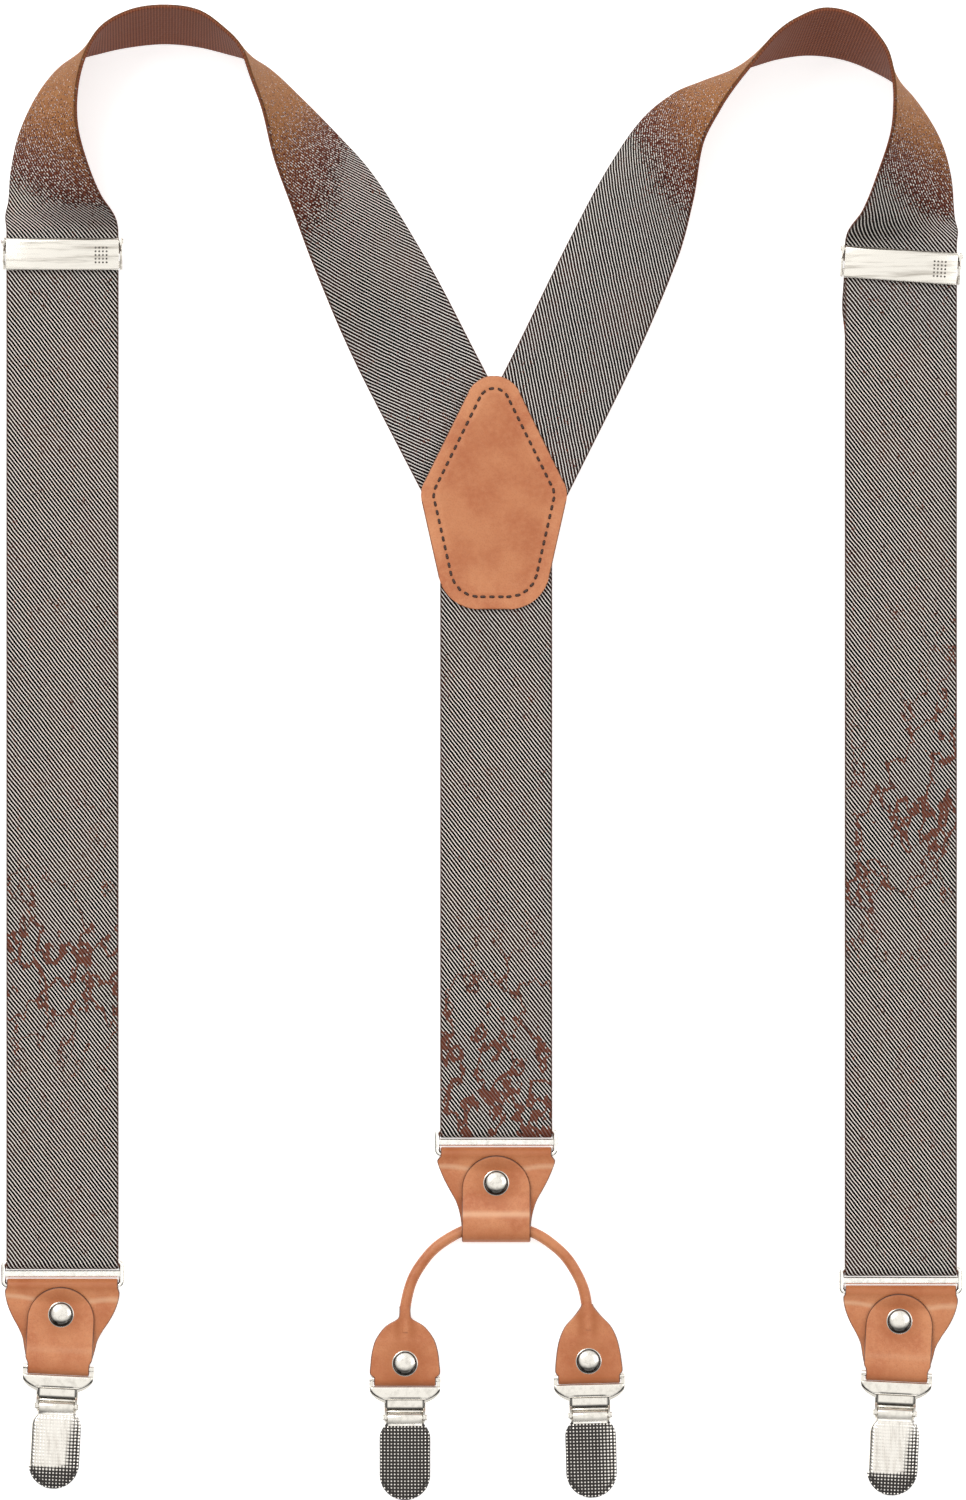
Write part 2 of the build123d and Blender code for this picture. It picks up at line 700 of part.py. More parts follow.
# (distance down from the end of the arch, half width)
LEFT_LEAF_WIDTHS = [
    (-1.0, 1.9),
    (0.8, 2.3),
    (3.1, 6.0),
    (7.0, 9.0),
    (11.0, 10.3),
    (15.0, 10.8),
    (18.2, 10.9),
    (19.2, 9.7),
    (24.0, 9.7),
]
RIGHT_LEAF_WIDTHS = [
    (-1.0, 2.2),
    (0.8, 4.4),
    (3.9, 7.2),
    (7.8, 9.0),
    (11.7, 9.9),
    (15.6, 10.4),
    (18.2, 10.5),
    (19.2, 9.7),
    (24.0, 9.7),
]


def leaf(frame, half_widths):
    """A flat leaf: front layer, round the slot bar, and back up behind, with a filled middle."""
    with BuildPart() as flat_end:
        with BuildSketch(side_of(frame)):
            with BuildLine():
                front = Line((LEAF_START, LEAF_TOP_MID), (-LEAF_DROP, LEAF_TOP_MID))
                bend = JernArc(start=front @ 1, tangent=(-1, 0), radius=TAB_FOLD_MID, arc_size=180)
                Line(bend @ 1, (LEAF_BACK_TOP, LEAF_BACK_MID))
            trace(line_width=LEATHER_T)
            with Locations((sum(LEAF_FILL_Y) / 2, BAR_Z)):
                Rectangle(LEAF_FILL_Y[1] - LEAF_FILL_Y[0], 2 * FOLD_R)
        extrude(amount=WEB_W / 2, both=True)
        with BuildSketch(frame.offset(-1)):
            with BuildLine():
                outline = [(w, -d) for d, w in half_widths]
                Polyline(*outline, *[(-x, y) for x, y in outline[::-1]], close=True)
            make_face()
        extrude(amount=8, mode=Mode.INTERSECT)
    return flat_end.part


left_leaf = frame_at(BACK_X - CORD_ARC_R, CORD_ARC_Y)
lean = radians(RIGHT_LEAF_LEAN)
right_leaf = frame_at(
    BACK_X + CORD_ARC_R * cos(lean),
    CORD_ARC_Y + CORD_ARC_R * sin(lean),
    RIGHT_LEAF_LEAN,
)
with BuildPart() as rear_cord:
    with BuildLine(Plane.XY.offset(CORD_Z)) as route:
        rise = Line((left_leaf.origin.X, CORD_ARC_Y - CORE_END), (left_leaf.origin.X, CORD_ARC_Y))
        arch = JernArc(
            start=rise @ 1,
            tangent=(0, 1),
            radius=CORD_ARC_R,
            arc_size=RIGHT_LEAF_LEAN - 180,
        )
        Line(arch @ 1, (arch @ 1) + (arch % 1) * CORE_END)
    with BuildSketch(Plane(origin=route.line @ 0, z_dir=(0, 1, 0))):
        Circle(CORD_R)
    sweep(path=route.wire())
    add(leaf(left_leaf, LEFT_LEAF_WIDTHS))
    add(leaf(right_leaf, RIGHT_LEAF_WIDTHS))
    for spot in (below(left_leaf, LEAF_RIVET), below(right_leaf, LEAF_RIVET)):
        with BuildSketch(spot.offset(-1)):
            Circle(RIVET_POST_R + GAP)
        extrude(amount=10, mode=Mode.SUBTRACT)
        with BuildSketch(spot):
            Circle(RIVET_HEAD_R + GAP)
        extrude(amount=RIVET_HEAD_T + GAP, mode=Mode.SUBTRACT)
save(rear_cord, "rear_cord")


# ---------------------------------------------------------------- rivets
def rivet_cap(frame, seat_z):
    """Domed cap on the front."""
    with BuildPart() as cap:
        with BuildSketch(frame.offset(seat_z)):
            Circle(RIVET_CAP_R)
        extrude(amount=RIVET_CAP_H)
        fillet(cap.edges().sort_by(Axis.Z)[-1], RIVET_CAP_H - RIVET_RIM_H)
    return cap


def rivet_post(frame, seat_z):
    """Post through the leather, with a flat head behind."""
    with BuildPart() as post:
        with BuildSketch(frame.offset(RIVET_HEAD_Z)):
            Circle(RIVET_HEAD_R)
        extrude(amount=RIVET_HEAD_T)
        with BuildSketch(frame.offset(RIVET_HEAD_Z)):
            Circle(RIVET_POST_R)
        extrude(amount=seat_z - RIVET_HEAD_Z)
    return post


TAB_SEAT = TONGUE_Z + LEATHER_T
LEAF_SEAT = FRONT_Z + LEATHER_T
for place, frame, seat in (
    ("left_tab", below(below(left_bar, 0, TAB_LEAN), RIVET_DROP), TAB_SEAT),
    ("right_tab", below(below(right_bar, 0, TAB_LEAN), RIVET_DROP), TAB_SEAT),
    ("back_tab", below(back_bar, RIVET_DROP), TAB_SEAT),
    ("rear_left", below(left_leaf, LEAF_RIVET), LEAF_SEAT),
    ("rear_right", below(right_leaf, LEAF_RIVET), LEAF_SEAT),
):
    save(rivet_cap(frame, seat), f"{place}_rivet_cap")
    save(rivet_post(frame, seat), f"{place}_rivet_post")

# ---------------------------------------------------------------- clips
BASE_Z = 0.0
BASE_T = 0.7
BASE_END = 35.0
EAR_OUT = 6.4
EAR_INSIDE = 5.7
JAW_Z = 2.0
JAW_T = 0.6
JAW_END = 35.0
PAD_T = 0.7
PAD_TOP = 27.0
COVER_Z = 3.2
COVER_H = 2.6
COVER_SHELL = 0.7
COVER_SHOULDER = 6.2
LOOP_T = 1.2            # the boat-shaped loop plate that carries the slot bar
ARM_TOP = 0.6
CAM_REACH = 1.55        # lever pivot to the cam's flat, which holds the jaw shut
EAR_TOP_Z = LEVER_PIVOT[1] + 1.1
TEETH = (-29.5, -31.0, -32.5, -34.0)
TOOTH_H = 0.45
GRIP_HALF_W = 3.9
JAW_NECK_HALF_W = 4.8
JAW_BOSS_R = 0.65


def clip_base(frame):
    """Loop plate, neck, hinge ears and back jaw, stamped in one piece."""
    with BuildPart() as base:
        with BuildSketch(side_of(frame)):
            with BuildLine():
                Polyline(
                    (-LOOP_TOP, BAR_Z - LOOP_T / 2),
                    (-LOOP_TOP, BAR_Z + LOOP_T / 2),
                    (-LOOP_BOTTOM, BAR_Z + LOOP_T / 2 - 0.1),
                    (-9.6, BASE_Z + BASE_T),
                    (-BASE_END, BASE_Z + BASE_T),
                    (-BASE_END, BASE_Z),
                    (-9.0, BASE_Z),
                    (-LOOP_BOTTOM, BAR_Z - LOOP_T / 2),
                    close=True,
                )
            make_face()
        extrude(amount=LOOP_HALF_W, both=True)
        with BuildSketch(frame.offset(-1)):
            with BuildLine():
                side = [
                    (LOOP_HALF_W, -LOOP_TOP + 1),
                    (LOOP_HALF_W, -3.2),
                    (10.9, -4.1),
                    (10.3, -5.0),
                    (9.2, -6.0),
                    (7.8, -6.8),
                    (EAR_OUT, -LOOP_BOTTOM),
                    (EAR_OUT, -12.9),
                    (CLIP_W / 2, -14.0),
                    (CLIP_W / 2, -30.0),
                    (4.0, -BASE_END - 0.2),
                ]
                Polyline(*side, *[(-x, y) for x, y in side[::-1]], close=True)
            make_face()
        extrude(amount=8, mode=Mode.INTERSECT)
        with BuildSketch(frame.offset(BAR_Z - LOOP_T / 2)):
            for sign in (-1, 1):
                with Locations((sign * (SLOT_HALF_W + LOOP_HALF_W) / 2, (ARM_TOP - LOOP_TOP) / 2)):
                    Rectangle(LOOP_HALF_W - SLOT_HALF_W, ARM_TOP + LOOP_TOP)
        extrude(amount=LOOP_T)
        with BuildSketch(side_of(frame)):
            with Locations((0, BAR_Z)):
                Circle(WIRE_R)
        extrude(amount=LOOP_HALF_W, both=True)
        for x in (-EAR_OUT, EAR_INSIDE):
            spot = frame.from_local_coords(Vector(x, 0, 0))
            with BuildSketch(Plane(origin=spot, x_dir=frame.y_dir, z_dir=frame.x_dir)):
                with BuildLine():
                    Polyline(
                        (-9.0, BASE_Z),
                        (-12.9, BASE_Z),
                        (-12.9, EAR_TOP_Z - 0.4),
                        (-12.5, EAR_TOP_Z),
                        (-11.3, EAR_TOP_Z),
                        (-9.0, JAW_PIVOT[1] + 1.0),
                        close=True,
                    )
                make_face()
                with Locations(LEVER_PIVOT):
                    Circle(PIN_R, mode=Mode.SUBTRACT)
                with Locations(JAW_PIVOT):
                    Circle(TRUNNION_R + RUN, mode=Mode.SUBTRACT)
            extrude(amount=EAR_OUT - EAR_INSIDE)
        with BuildSketch(side_of(frame)):
            for tooth in TEETH:
                with BuildLine():
                    Polyline(
                        (tooth - 0.5, BASE_Z + BASE_T),
                        (tooth + 0.5, BASE_Z + BASE_T),
                        (tooth, BASE_Z + BASE_T + TOOTH_H),
                        close=True,
                    )
                make_face()
        extrude(amount=GRIP_HALF_W, both=True)
    return base


def clip_pin(frame):
    """Hinge pin across the ears."""
    with BuildPart() as pin:
        with BuildSketch(side_of(frame)):
            with Locations(LEVER_PIVOT):
                Circle(PIN_R)
        extrude(amount=EAR_OUT, both=True)
        for x in (-EAR_OUT - PIN_HEAD, EAR_OUT):
            spot = frame.from_local_coords(Vector(x, 0, 0))
            with BuildSketch(Plane(origin=spot, x_dir=frame.y_dir, z_dir=frame.x_dir)):
                with Locations(LEVER_PIVOT):
                    Circle(PIN_R + 0.3)
            extrude(amount=PIN_HEAD)
    return pin


def cover_outline(frame, height, inset):
    """Cover outline: square shoulders, straight sides and a round end."""
    half = COVER_W / 2 - inset
    shoulder = COVER_SHOULDER - inset
    with BuildSketch(frame.offset(height)) as outline:
        with BuildLine():
            Polyline(
                (-half, -COVER_BOTTOM + COVER_W / 2),
                (-half, -17.2),
                (-shoulder, -COVER_TOP - inset),
                (shoulder, -COVER_TOP - inset),
                (half, -17.2),
                (half, -COVER_BOTTOM + COVER_W / 2),
            )
            ThreePointArc(
                (half, -COVER_BOTTOM + COVER_W / 2),
                (0, -COVER_BOTTOM + inset),
                (-half, -COVER_BOTTOM + COVER_W / 2),
            )
        make_face()
    return outline.sketch


def clip_lever(frame):
    """Domed cover on a knuckle, with the cam that closes the jaw."""
    hollow = extrude(cover_outline(frame, COVER_Z, COVER_SHELL), amount=COVER_H - COVER_SHELL)
    pivot_y, pivot_z = LEVER_PIVOT
    with BuildPart() as lever:
        add(extrude(cover_outline(frame, COVER_Z, 0.0), amount=COVER_H, mode=Mode.PRIVATE))
        fillet(lever.faces().sort_by(Axis.Z)[-1].edges(), 1.2)
        add(hollow, mode=Mode.SUBTRACT)
        with BuildSketch(side_of(frame)):
            with Locations(LEVER_PIVOT):
                Circle(KNUCKLE_R)
            with BuildLine():
                Polyline(
                    (pivot_y - 1.0, pivot_z - CAM_REACH),
                    (pivot_y + 0.2, pivot_z - CAM_REACH),
                    (pivot_y + 1.2, pivot_z),
                    (pivot_y - 1.35, pivot_z),
                    close=True,
                )
            make_face()
            with BuildLine():
                Polyline(
                    (pivot_y, pivot_z),
                    (pivot_y, pivot_z + KNUCKLE_R),
                    (-COVER_TOP - 1.0, COVER_Z + COVER_H - 0.4),
                    (-COVER_TOP - 1.0, pivot_z),
                    close=True,
                )
            make_face()
            with Locations(LEVER_PIVOT):
                Circle(PIN_R + RUN, mode=Mode.SUBTRACT)
        extrude(amount=EAR_INSIDE - 0.3, both=True)
    return lever


def clip_jaw(frame):
    """Front jaw: a tongue that rocks on two trunnions in the ears."""
    half = JAW_W / 2
    pivot_y, pivot_z = JAW_PIVOT
    with BuildPart() as jaw:
        with BuildSketch(frame.offset(JAW_Z)):
            with BuildLine():
                side = [
                    (JAW_NECK_HALF_W, pivot_y),
                    (JAW_NECK_HALF_W, -13.2),
                    (half, -14.0),
                    (half, -30.0),
                    (4.2, -JAW_END),
                ]
                Polyline(*side, *[(-x, y) for x, y in side[::-1]], close=True)
            make_face()
        extrude(amount=JAW_T)
        with BuildSketch(side_of(frame)):
            with Locations((pivot_y, pivot_z)):
                Circle(JAW_BOSS_R)
        extrude(amount=JAW_NECK_HALF_W, both=True)
        with BuildSketch(side_of(frame)):
            with Locations((pivot_y, pivot_z)):
                Circle(TRUNNION_R)
        extrude(amount=EAR_OUT - 0.1, both=True)
    return jaw


def clip_pad(frame):
    """Plastic grip pad under the jaw, with cross ribs."""
    top = JAW_Z
    with BuildPart() as pad:
        with BuildSketch(side_of(frame)):
            with BuildLine():
                Polyline(
                    (-PAD_TOP, top),
                    (-PAD_TOP, top - PAD_T + 0.3),
                    (-PAD_TOP - 0.3, top - PAD_T + 0.1),
                    (-JAW_END + 0.4, top - PAD_T + 0.1),
                    (-JAW_END + 0.4, top),
                    close=True,
                )
            make_face()
        extrude(amount=GRIP_HALF_W, both=True)
    return pad


front_left = below(below(left_bar, 0, TAB_LEAN), TAB_DROP)
front_right = below(below(right_bar, 0, TAB_LEAN), TAB_DROP)
rear_left = below(left_leaf, LEAF_DROP)
rear_right = below(right_leaf, LEAF_DROP)
for place, frame in (
    ("front_left", front_left),
    ("front_right", front_right),
    ("rear_left", rear_left),
    ("rear_right", rear_right),
):
    save(clip_base(frame), f"{place}_clip_base")
    save(clip_pin(frame), f"{place}_clip_pin")
    save(clip_lever(frame), f"{place}_clip_lever")
    save(clip_jaw(frame), f"{place}_clip_jaw")
    save(clip_pad(frame), f"{place}_clip_pad")
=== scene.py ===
import json
import math
from bisect import bisect_right
from itertools import accumulate

import bmesh
import bpy
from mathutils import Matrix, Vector


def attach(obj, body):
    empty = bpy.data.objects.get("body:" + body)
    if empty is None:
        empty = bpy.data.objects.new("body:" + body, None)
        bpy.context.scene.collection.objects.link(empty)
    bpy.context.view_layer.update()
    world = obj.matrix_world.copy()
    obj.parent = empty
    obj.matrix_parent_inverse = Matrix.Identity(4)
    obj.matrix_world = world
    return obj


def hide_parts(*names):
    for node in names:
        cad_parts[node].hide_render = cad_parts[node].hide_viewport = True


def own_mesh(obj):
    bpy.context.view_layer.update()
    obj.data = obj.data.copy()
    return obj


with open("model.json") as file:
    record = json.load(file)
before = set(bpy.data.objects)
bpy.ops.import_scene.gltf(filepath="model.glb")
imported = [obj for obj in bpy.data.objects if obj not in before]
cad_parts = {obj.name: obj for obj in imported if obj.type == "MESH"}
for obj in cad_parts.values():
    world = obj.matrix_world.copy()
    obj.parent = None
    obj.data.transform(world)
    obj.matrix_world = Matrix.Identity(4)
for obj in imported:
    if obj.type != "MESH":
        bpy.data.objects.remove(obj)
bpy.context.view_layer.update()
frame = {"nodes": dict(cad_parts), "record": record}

# Looks for a pair of Y-back suspenders lying flat. Lengths below are millimetres in the row's
# frame, as in part.py, and MM turns them into metres when a mesh is made.
MM = 0.001
nodes = frame["nodes"]
record = frame["record"]
body_of = {n: b for b, ns in record["behaviour"]["bodies"].items() for n in ns}
slot_of = {row["node"]: row["material_slot"] for row in record["subparts"]}


def link(name, data):
    """A new object in the scene."""
    made = bpy.data.objects.new(name, data)
    bpy.context.scene.collection.objects.link(made)
    return made


# ------------------------------------------------------------------ camera
VIEW_X, VIEW_Y = 0.18, 0.84       # the middle of the picture
VIEW_DISTANCE = 8000.0
VIEW_HEIGHT = 468.75              # what the picture's long side takes in
camera_data = bpy.data.cameras.new("camera")
camera_data.sensor_width = 36.0
camera_data.lens = camera_data.sensor_width * VIEW_DISTANCE / VIEW_HEIGHT
camera_data.clip_end = 50.0
camera = link("camera", camera_data)
camera.location = Vector((VIEW_X, VIEW_Y, VIEW_DISTANCE)) * MM
bpy.context.scene.camera = camera

# ------------------------------------------------------------------ dimensions shared with part.py
WEB_W, WEB_T = 35.0, 1.3
LEATHER_T = 1.2
WIRE_R, RUN, GAP = 0.9, 0.08, 0.05
LEFT_X, RIGHT_X, BACK_X = -131.2, 130.7, 4.3
LEFT_RING_Y, RIGHT_RING_Y, BACK_RING_Y = -159.1, -161.2, -118.0
LEFT_FLAT_Y, RIGHT_FLAT_Y = 162.5, 158.5
LEFT_ADJUSTER_Y, RIGHT_ADJUSTER_Y, RIGHT_ADJUSTER_SKEW = 155.7, 152.2, -4.0
BAR_Z = WEB_T + RUN + WIRE_R
FOLD_R = WIRE_R + RUN
FRONT_Z = BAR_Z + FOLD_R
YOKE_LOWER_Z = LEATHER_T
YOKE_UPPER_Z = YOKE_LOWER_Z + WEB_T + GAP
YOKE_FRONT_Z = YOKE_UPPER_Z + WEB_T + GAP
RING_DROP = 7.4
TAB_DROP, TAB_LEAN, BACK_TAB_DROP, RIVET_DROP = 25.7, -2.8, 24.5, 9.0
BACK_FLAP_Z = 0.55
HIDE_Z = BACK_FLAP_Z + LEATHER_T + GAP
TONGUE_Z = HIDE_Z + LEATHER_T + GAP
CORD_R, CORD_Z, CORD_ARC_R, CORD_ARC_Y = 1.75, 3.05, 28.5, -176.0
LEAF_DROP, LEAF_RIVET, RIGHT_LEAF_LEAN = 19.7, 14.8, 1.5
COVER_W, COVER_TOP, COVER_BOTTOM = 15.8, 13.5, 37.8
COVER_Z, COVER_H, COVER_SHELL = 3.2, 2.6, 0.7
LEVER_PIVOT = (-12.0, 4.3)
YOKE_X, YOKE_TOP, YOKE_SIDE, YOKE_FOOT = 3.6, 128.9, (23.3, 81.6), (15.0, 44.7)
YOKE_APEX_R, YOKE_SIDE_R, YOKE_FOOT_R = 8.8, 9.0, 13.0
STITCH_INSET, STITCH_PITCH = 4.0, 2.8
STRAP_CUT_Y = 77.0
SEAM_DROP = 22.0


# ------------------------------------------------------------------ shader helpers
class Shader:
    """A material under construction. Sockets and plain numbers mix freely as inputs."""

    def __init__(self, name):
        self.material = bpy.data.materials.new(name)
        self.material.use_nodes = True
        self.tree = self.material.node_tree
        self.tree.nodes.clear()
        self.out = self.tree.nodes.new("ShaderNodeOutputMaterial")
        self.bsdf = self.tree.nodes.new("ShaderNodeBsdfPrincipled")
        self.tree.links.new(self.bsdf.outputs[0], self.out.inputs[0])

    def put(self, socket, value):
        if isinstance(value, bpy.types.NodeSocket):
            self.tree.links.new(value, socket)
        else:
            socket.default_value = value

    def node(self, kind, *values, **settings):
        """A node with its first inputs filled in. None leaves an input as it is."""
        made = self.tree.nodes.new(kind)
        for key, value in settings.items():
            setattr(made, key, value)
        for socket, value in zip(made.inputs, values):
            if value is not None:
                self.put(socket, value)
        return made

    def math(self, operation, *values):
        return self.node("ShaderNodeMath", *values, operation=operation).outputs[0]

    def times(self, a, b):
        return self.math("MULTIPLY", a, b)

    def less(self, a, b):
        return self.math("SUBTRACT", a, b)

    def line(self, value, factor, start):
        """value times factor, plus start."""
        return self.math("MULTIPLY_ADD", value, factor, start)

    def span(self, value, low, high):
        """A 0 to 1 value turned into one from low to high."""
        return self.line(value, high - low, low)

    def step(self, value, low, high):
        """0 below low, 1 above high and smooth between them."""
        made = self.node("ShaderNodeMapRange", value, low, high, interpolation_type="SMOOTHSTEP")
        return made.outputs[0]

    def wave(self, value):
        """A wave from 0 to 1 with its crest at each whole number."""
        return self.line(self.math("COSINE", self.times(value, 2 * math.pi)), 0.5, 0.5)

    def combine(self, x, y):
        return self.node("ShaderNodeCombineXYZ", x, y, 0.0).outputs[0]

    def noise(self, where, scale, detail=2.0, rough=0.5):
        made = self.node("ShaderNodeTexNoise")
        values = {"Vector": where, "Scale": scale, "Detail": detail, "Roughness": rough}
        for name, value in values.items():
            self.put(made.inputs[name], value)
        return made.outputs["Fac"]

    def streaks(self, where, stretch, detail):
        """Noise whose speed along each way is the matching number of stretch."""
        run = self.node("ShaderNodeVectorMath", where, stretch, operation="MULTIPLY").outputs[0]
        return self.noise(run, 1.0, detail, 0.6)

    def mix(self, factor, a, b):
        made = self.node("ShaderNodeMix", data_type="RGBA")
        for n, value in ((0, factor), (6, a), (7, b)):
            self.put(made.inputs[n], value)
        return made.outputs[2]

    def tint(self, base, amount, most, colour):
        """base turned towards colour, by most where amount is 1."""
        return self.mix(self.times(amount, most), base, colour)

    def lie(self):
        """Across and along the strip, in mm, and the weight that the piece gives each point."""
        read = self.node("ShaderNodeAttribute", attribute_name="lie")
        return self.node("ShaderNodeSeparateXYZ", read.outputs["Vector"]).outputs

    def front(self):
        """1 on the front, 0 on the back and a half on the edge between them."""
        return self.node("ShaderNodeAttribute", attribute_name="front").outputs["Fac"]

    def place(self):
        """The point in the row's frame, in mm."""
        read = self.node("ShaderNodeTexCoord").outputs["Object"]
        made = self.node("ShaderNodeVectorMath", read, operation="SCALE")
        made.inputs["Scale"].default_value = 1 / MM
        return made.outputs[0]

    def bump(self, height, depth_mm, strength=1.0):
        made = self.node("ShaderNodeBump")
        self.put(made.inputs["Strength"], strength)
        self.put(made.inputs["Distance"], depth_mm * MM)
        self.put(made.inputs["Height"], height)
        self.put(self.bsdf.inputs["Normal"], made.outputs[0])

    def set(self, **values):
        for name, value in values.items():
            self.put(self.bsdf.inputs[name.replace("_", " ")], value)


def rgb(red, green, blue):
    """A linear colour from one seen on a screen, 0 to 255."""
    def linear(v):
        v /= 255
        return v / 12.92 if v <= 0.04045 else ((v + 0.055) / 1.055) ** 2.4
    return (linear(red), linear(green), linear(blue), 1.0)


# ------------------------------------------------------------------ materials
TWILL_COS, TWILL_SIN = math.cos(math.radians(38)), math.sin(math.radians(38))
TWILL_PITCH, FLOAT_PITCH = 0.95, 0.8
RIB_PITCH, WARP_PITCH = 0.95, 1.9
KNURL_PITCH = 1.06


def webbing():
    """Two-tone twill in front, brown ribbed elastic behind, and brown selvedges.

    The weight is the share of painted sheen turning it tan at a bend, or below 0 how far the twill
    has worn off.
    """
    s = Shader("webbing")
    across, along, weight = s.lie()
    flat = s.combine(across, along)
    drift = s.span(s.noise(flat, 0.22), -0.22, 0.22)
    ridge = s.line(along, TWILL_SIN / TWILL_PITCH, s.times(across, TWILL_COS / TWILL_PITCH))
    ridge = s.math("ADD", ridge, drift)
    line = s.wave(ridge)
    row = s.line(along, TWILL_COS / FLOAT_PITCH, s.times(across, -TWILL_SIN / FLOAT_PITCH))
    floats = s.wave(s.line(s.math("FLOOR", ridge), 0.5, row))
    fuzz = s.noise(flat, 2.6)
    light = s.line(fuzz, 0.36, s.line(floats, 0.12, line))
    broken = s.step(s.noise(flat, 1.6, 1.0), 0.3, 0.7)
    # painted sheen at the bends breaks up the light threads
    sheen_break = s.times(s.step(weight, 0.02, 0.3), 1.1)
    light = s.step(s.line(s.less(broken, 0.62), sheen_break, light), 0.98, 1.1)
    pale = s.mix(fuzz, rgb(196, 188, 182), rgb(246, 240, 234))
    faded = s.step(s.noise(flat, 0.06, 3.0), 0.42, 0.75)
    dark = s.mix(faded, rgb(10, 8, 8), rgb(38, 20, 16))
    # painted sheen turns the dark threads brown at the bends
    dark = s.mix(s.step(weight, 0.03, 0.4), dark, rgb(74, 30, 20))
    twill = s.mix(light, dark, pale)

    # worn patches: the brown ground shows along the level lines of a rough noise
    wear_and_shade = s.math("MAXIMUM", s.times(weight, -1.0), 0.0)
    drawn = s.combine(across, s.times(along, 0.65))
    contour = s.math("ABSOLUTE", s.less(s.noise(drawn, 0.075, 4.0, 0.62), 0.5))
    reach = s.line(wear_and_shade, 0.05, 0.0004)
    bare = s.step(contour, s.times(reach, 0.6), reach)
    rust = s.mix(s.noise(flat, 0.9), rgb(74, 34, 24), rgb(114, 58, 38))
    face = s.mix(s.line(bare, -0.88, 0.88), twill, rust)

    # painted sheen at the bends, where the twill turns tan in specks
    speck = s.step(s.noise(flat, 1.25, 1.0), 0.3, 0.7)
    ochre = s.mix(s.noise(flat, 0.35), rgb(130, 77, 38), rgb(170, 114, 62))
    tan = s.mix(s.step(weight, 0.25, 0.85), rgb(98, 48, 32), ochre)
    face = s.mix(s.step(s.less(weight, speck), -0.06, 0.1), face, tan)
    rim = s.step(s.math("ABSOLUTE", across), WEB_W / 2 - 0.75, WEB_W / 2 - 0.2)
    face = s.tint(face, rim, 0.7, rgb(66, 38, 28))

    rib = s.wave(s.math("DIVIDE", along, RIB_PITCH))
    warp = s.wave(s.math("DIVIDE", across, WARP_PITCH))
    inner = s.mix(rib, rgb(94, 46, 30), rgb(146, 86, 60))
    inner = s.tint(inner, warp, 0.25, rgb(92, 46, 32))
    inner = s.tint(inner, s.noise(flat, 1.6, 3.0), 0.25, rgb(160, 100, 76))

    front = s.step(s.front(), 0.46, 0.56)
    s.set(
        Base_Color=s.mix(front, inner, face),
        Roughness=s.span(s.less(1.0, line), 0.52, 0.8),
        Specular_IOR_Level=0.12,
    )
    back_height, front_height = s.line(warp, 0.4, rib), s.line(floats, 0.35, line)
    height = s.node("ShaderNodeMix", front, back_height, front_height, data_type="FLOAT").outputs[0]
    s.bump(s.line(fuzz, 0.4, height), 0.14, 0.8)
    return s.material


def leather():
    """Smooth tan hide with a fine grain.

    The weight darkens it, as painted shade at folds and as a browner tone in other places; below 0
    it is a painted highlight.
    """
    s = Shader("leather")
    shade = s.lie()[2]
    where = s.place()
    mottle = s.noise(where, 0.7, 4.0, 0.6)
    pores = s.node("ShaderNodeTexVoronoi", feature="F1")
    s.put(pores.inputs["Vector"], where)
    s.put(pores.inputs["Scale"], 1.7)
    pore = s.step(pores.outputs["Distance"], 0.05, 0.6)
    tone = s.mix(s.step(s.noise(where, 0.09, 3.0), 0.3, 0.7), rgb(183, 104, 60), rgb(206, 134, 88))
    tone = s.tint(tone, s.step(mottle, 0.35, 0.75), 0.3, rgb(218, 154, 110))
    tone = s.tint(tone, s.less(1.0, pore), 0.18, rgb(140, 76, 44))
    # the weight: painted shade and browner tone towards dark brown, and below 0 a painted highlight
    tone = s.tint(tone, shade, 0.85, rgb(160, 82, 24))
    tone = s.tint(tone, shade, -1.0, rgb(236, 188, 150))
    cut = s.math("ABSOLUTE", s.less(s.front(), 0.5))
    tone = s.tint(tone, s.less(1.0, s.step(cut, 0.02, 0.42)), 0.95, rgb(62, 30, 18))
    s.set(
        Base_Color=tone,
        Roughness=s.span(mottle, 0.36, 0.6),
        Coat_Weight=0.12,
        Coat_Roughness=0.35,
    )
    s.bump(s.line(pore, 0.5, s.noise(where, 1.4, 5.0, 0.65)), 0.07, 0.7)
    return s.material


def nickel(name, stretch, bright=rgb(238, 233, 224), dull=rgb(178, 171, 161)):
    """Bright plate with faint streaks and smudges. The weight is painted dark reflection and shade
    at its rims and creases.
    """
    s = Shader(name)
    painted_dark = s.lie()[2]
    where = s.place()
    streak = s.streaks(where, stretch, 4.0)
    plate = s.mix(s.step(streak, 0.42, 0.74), bright, dull)
    s.set(
        Base_Color=s.mix(painted_dark, plate, rgb(18, 15, 14)),
        Roughness=s.line(s.noise(where, 0.16), 0.12, s.span(streak, 0.08, 0.22)),
        Metallic=1.0,
    )
    s.bump(streak, 0.012, 0.5)
    return s.material


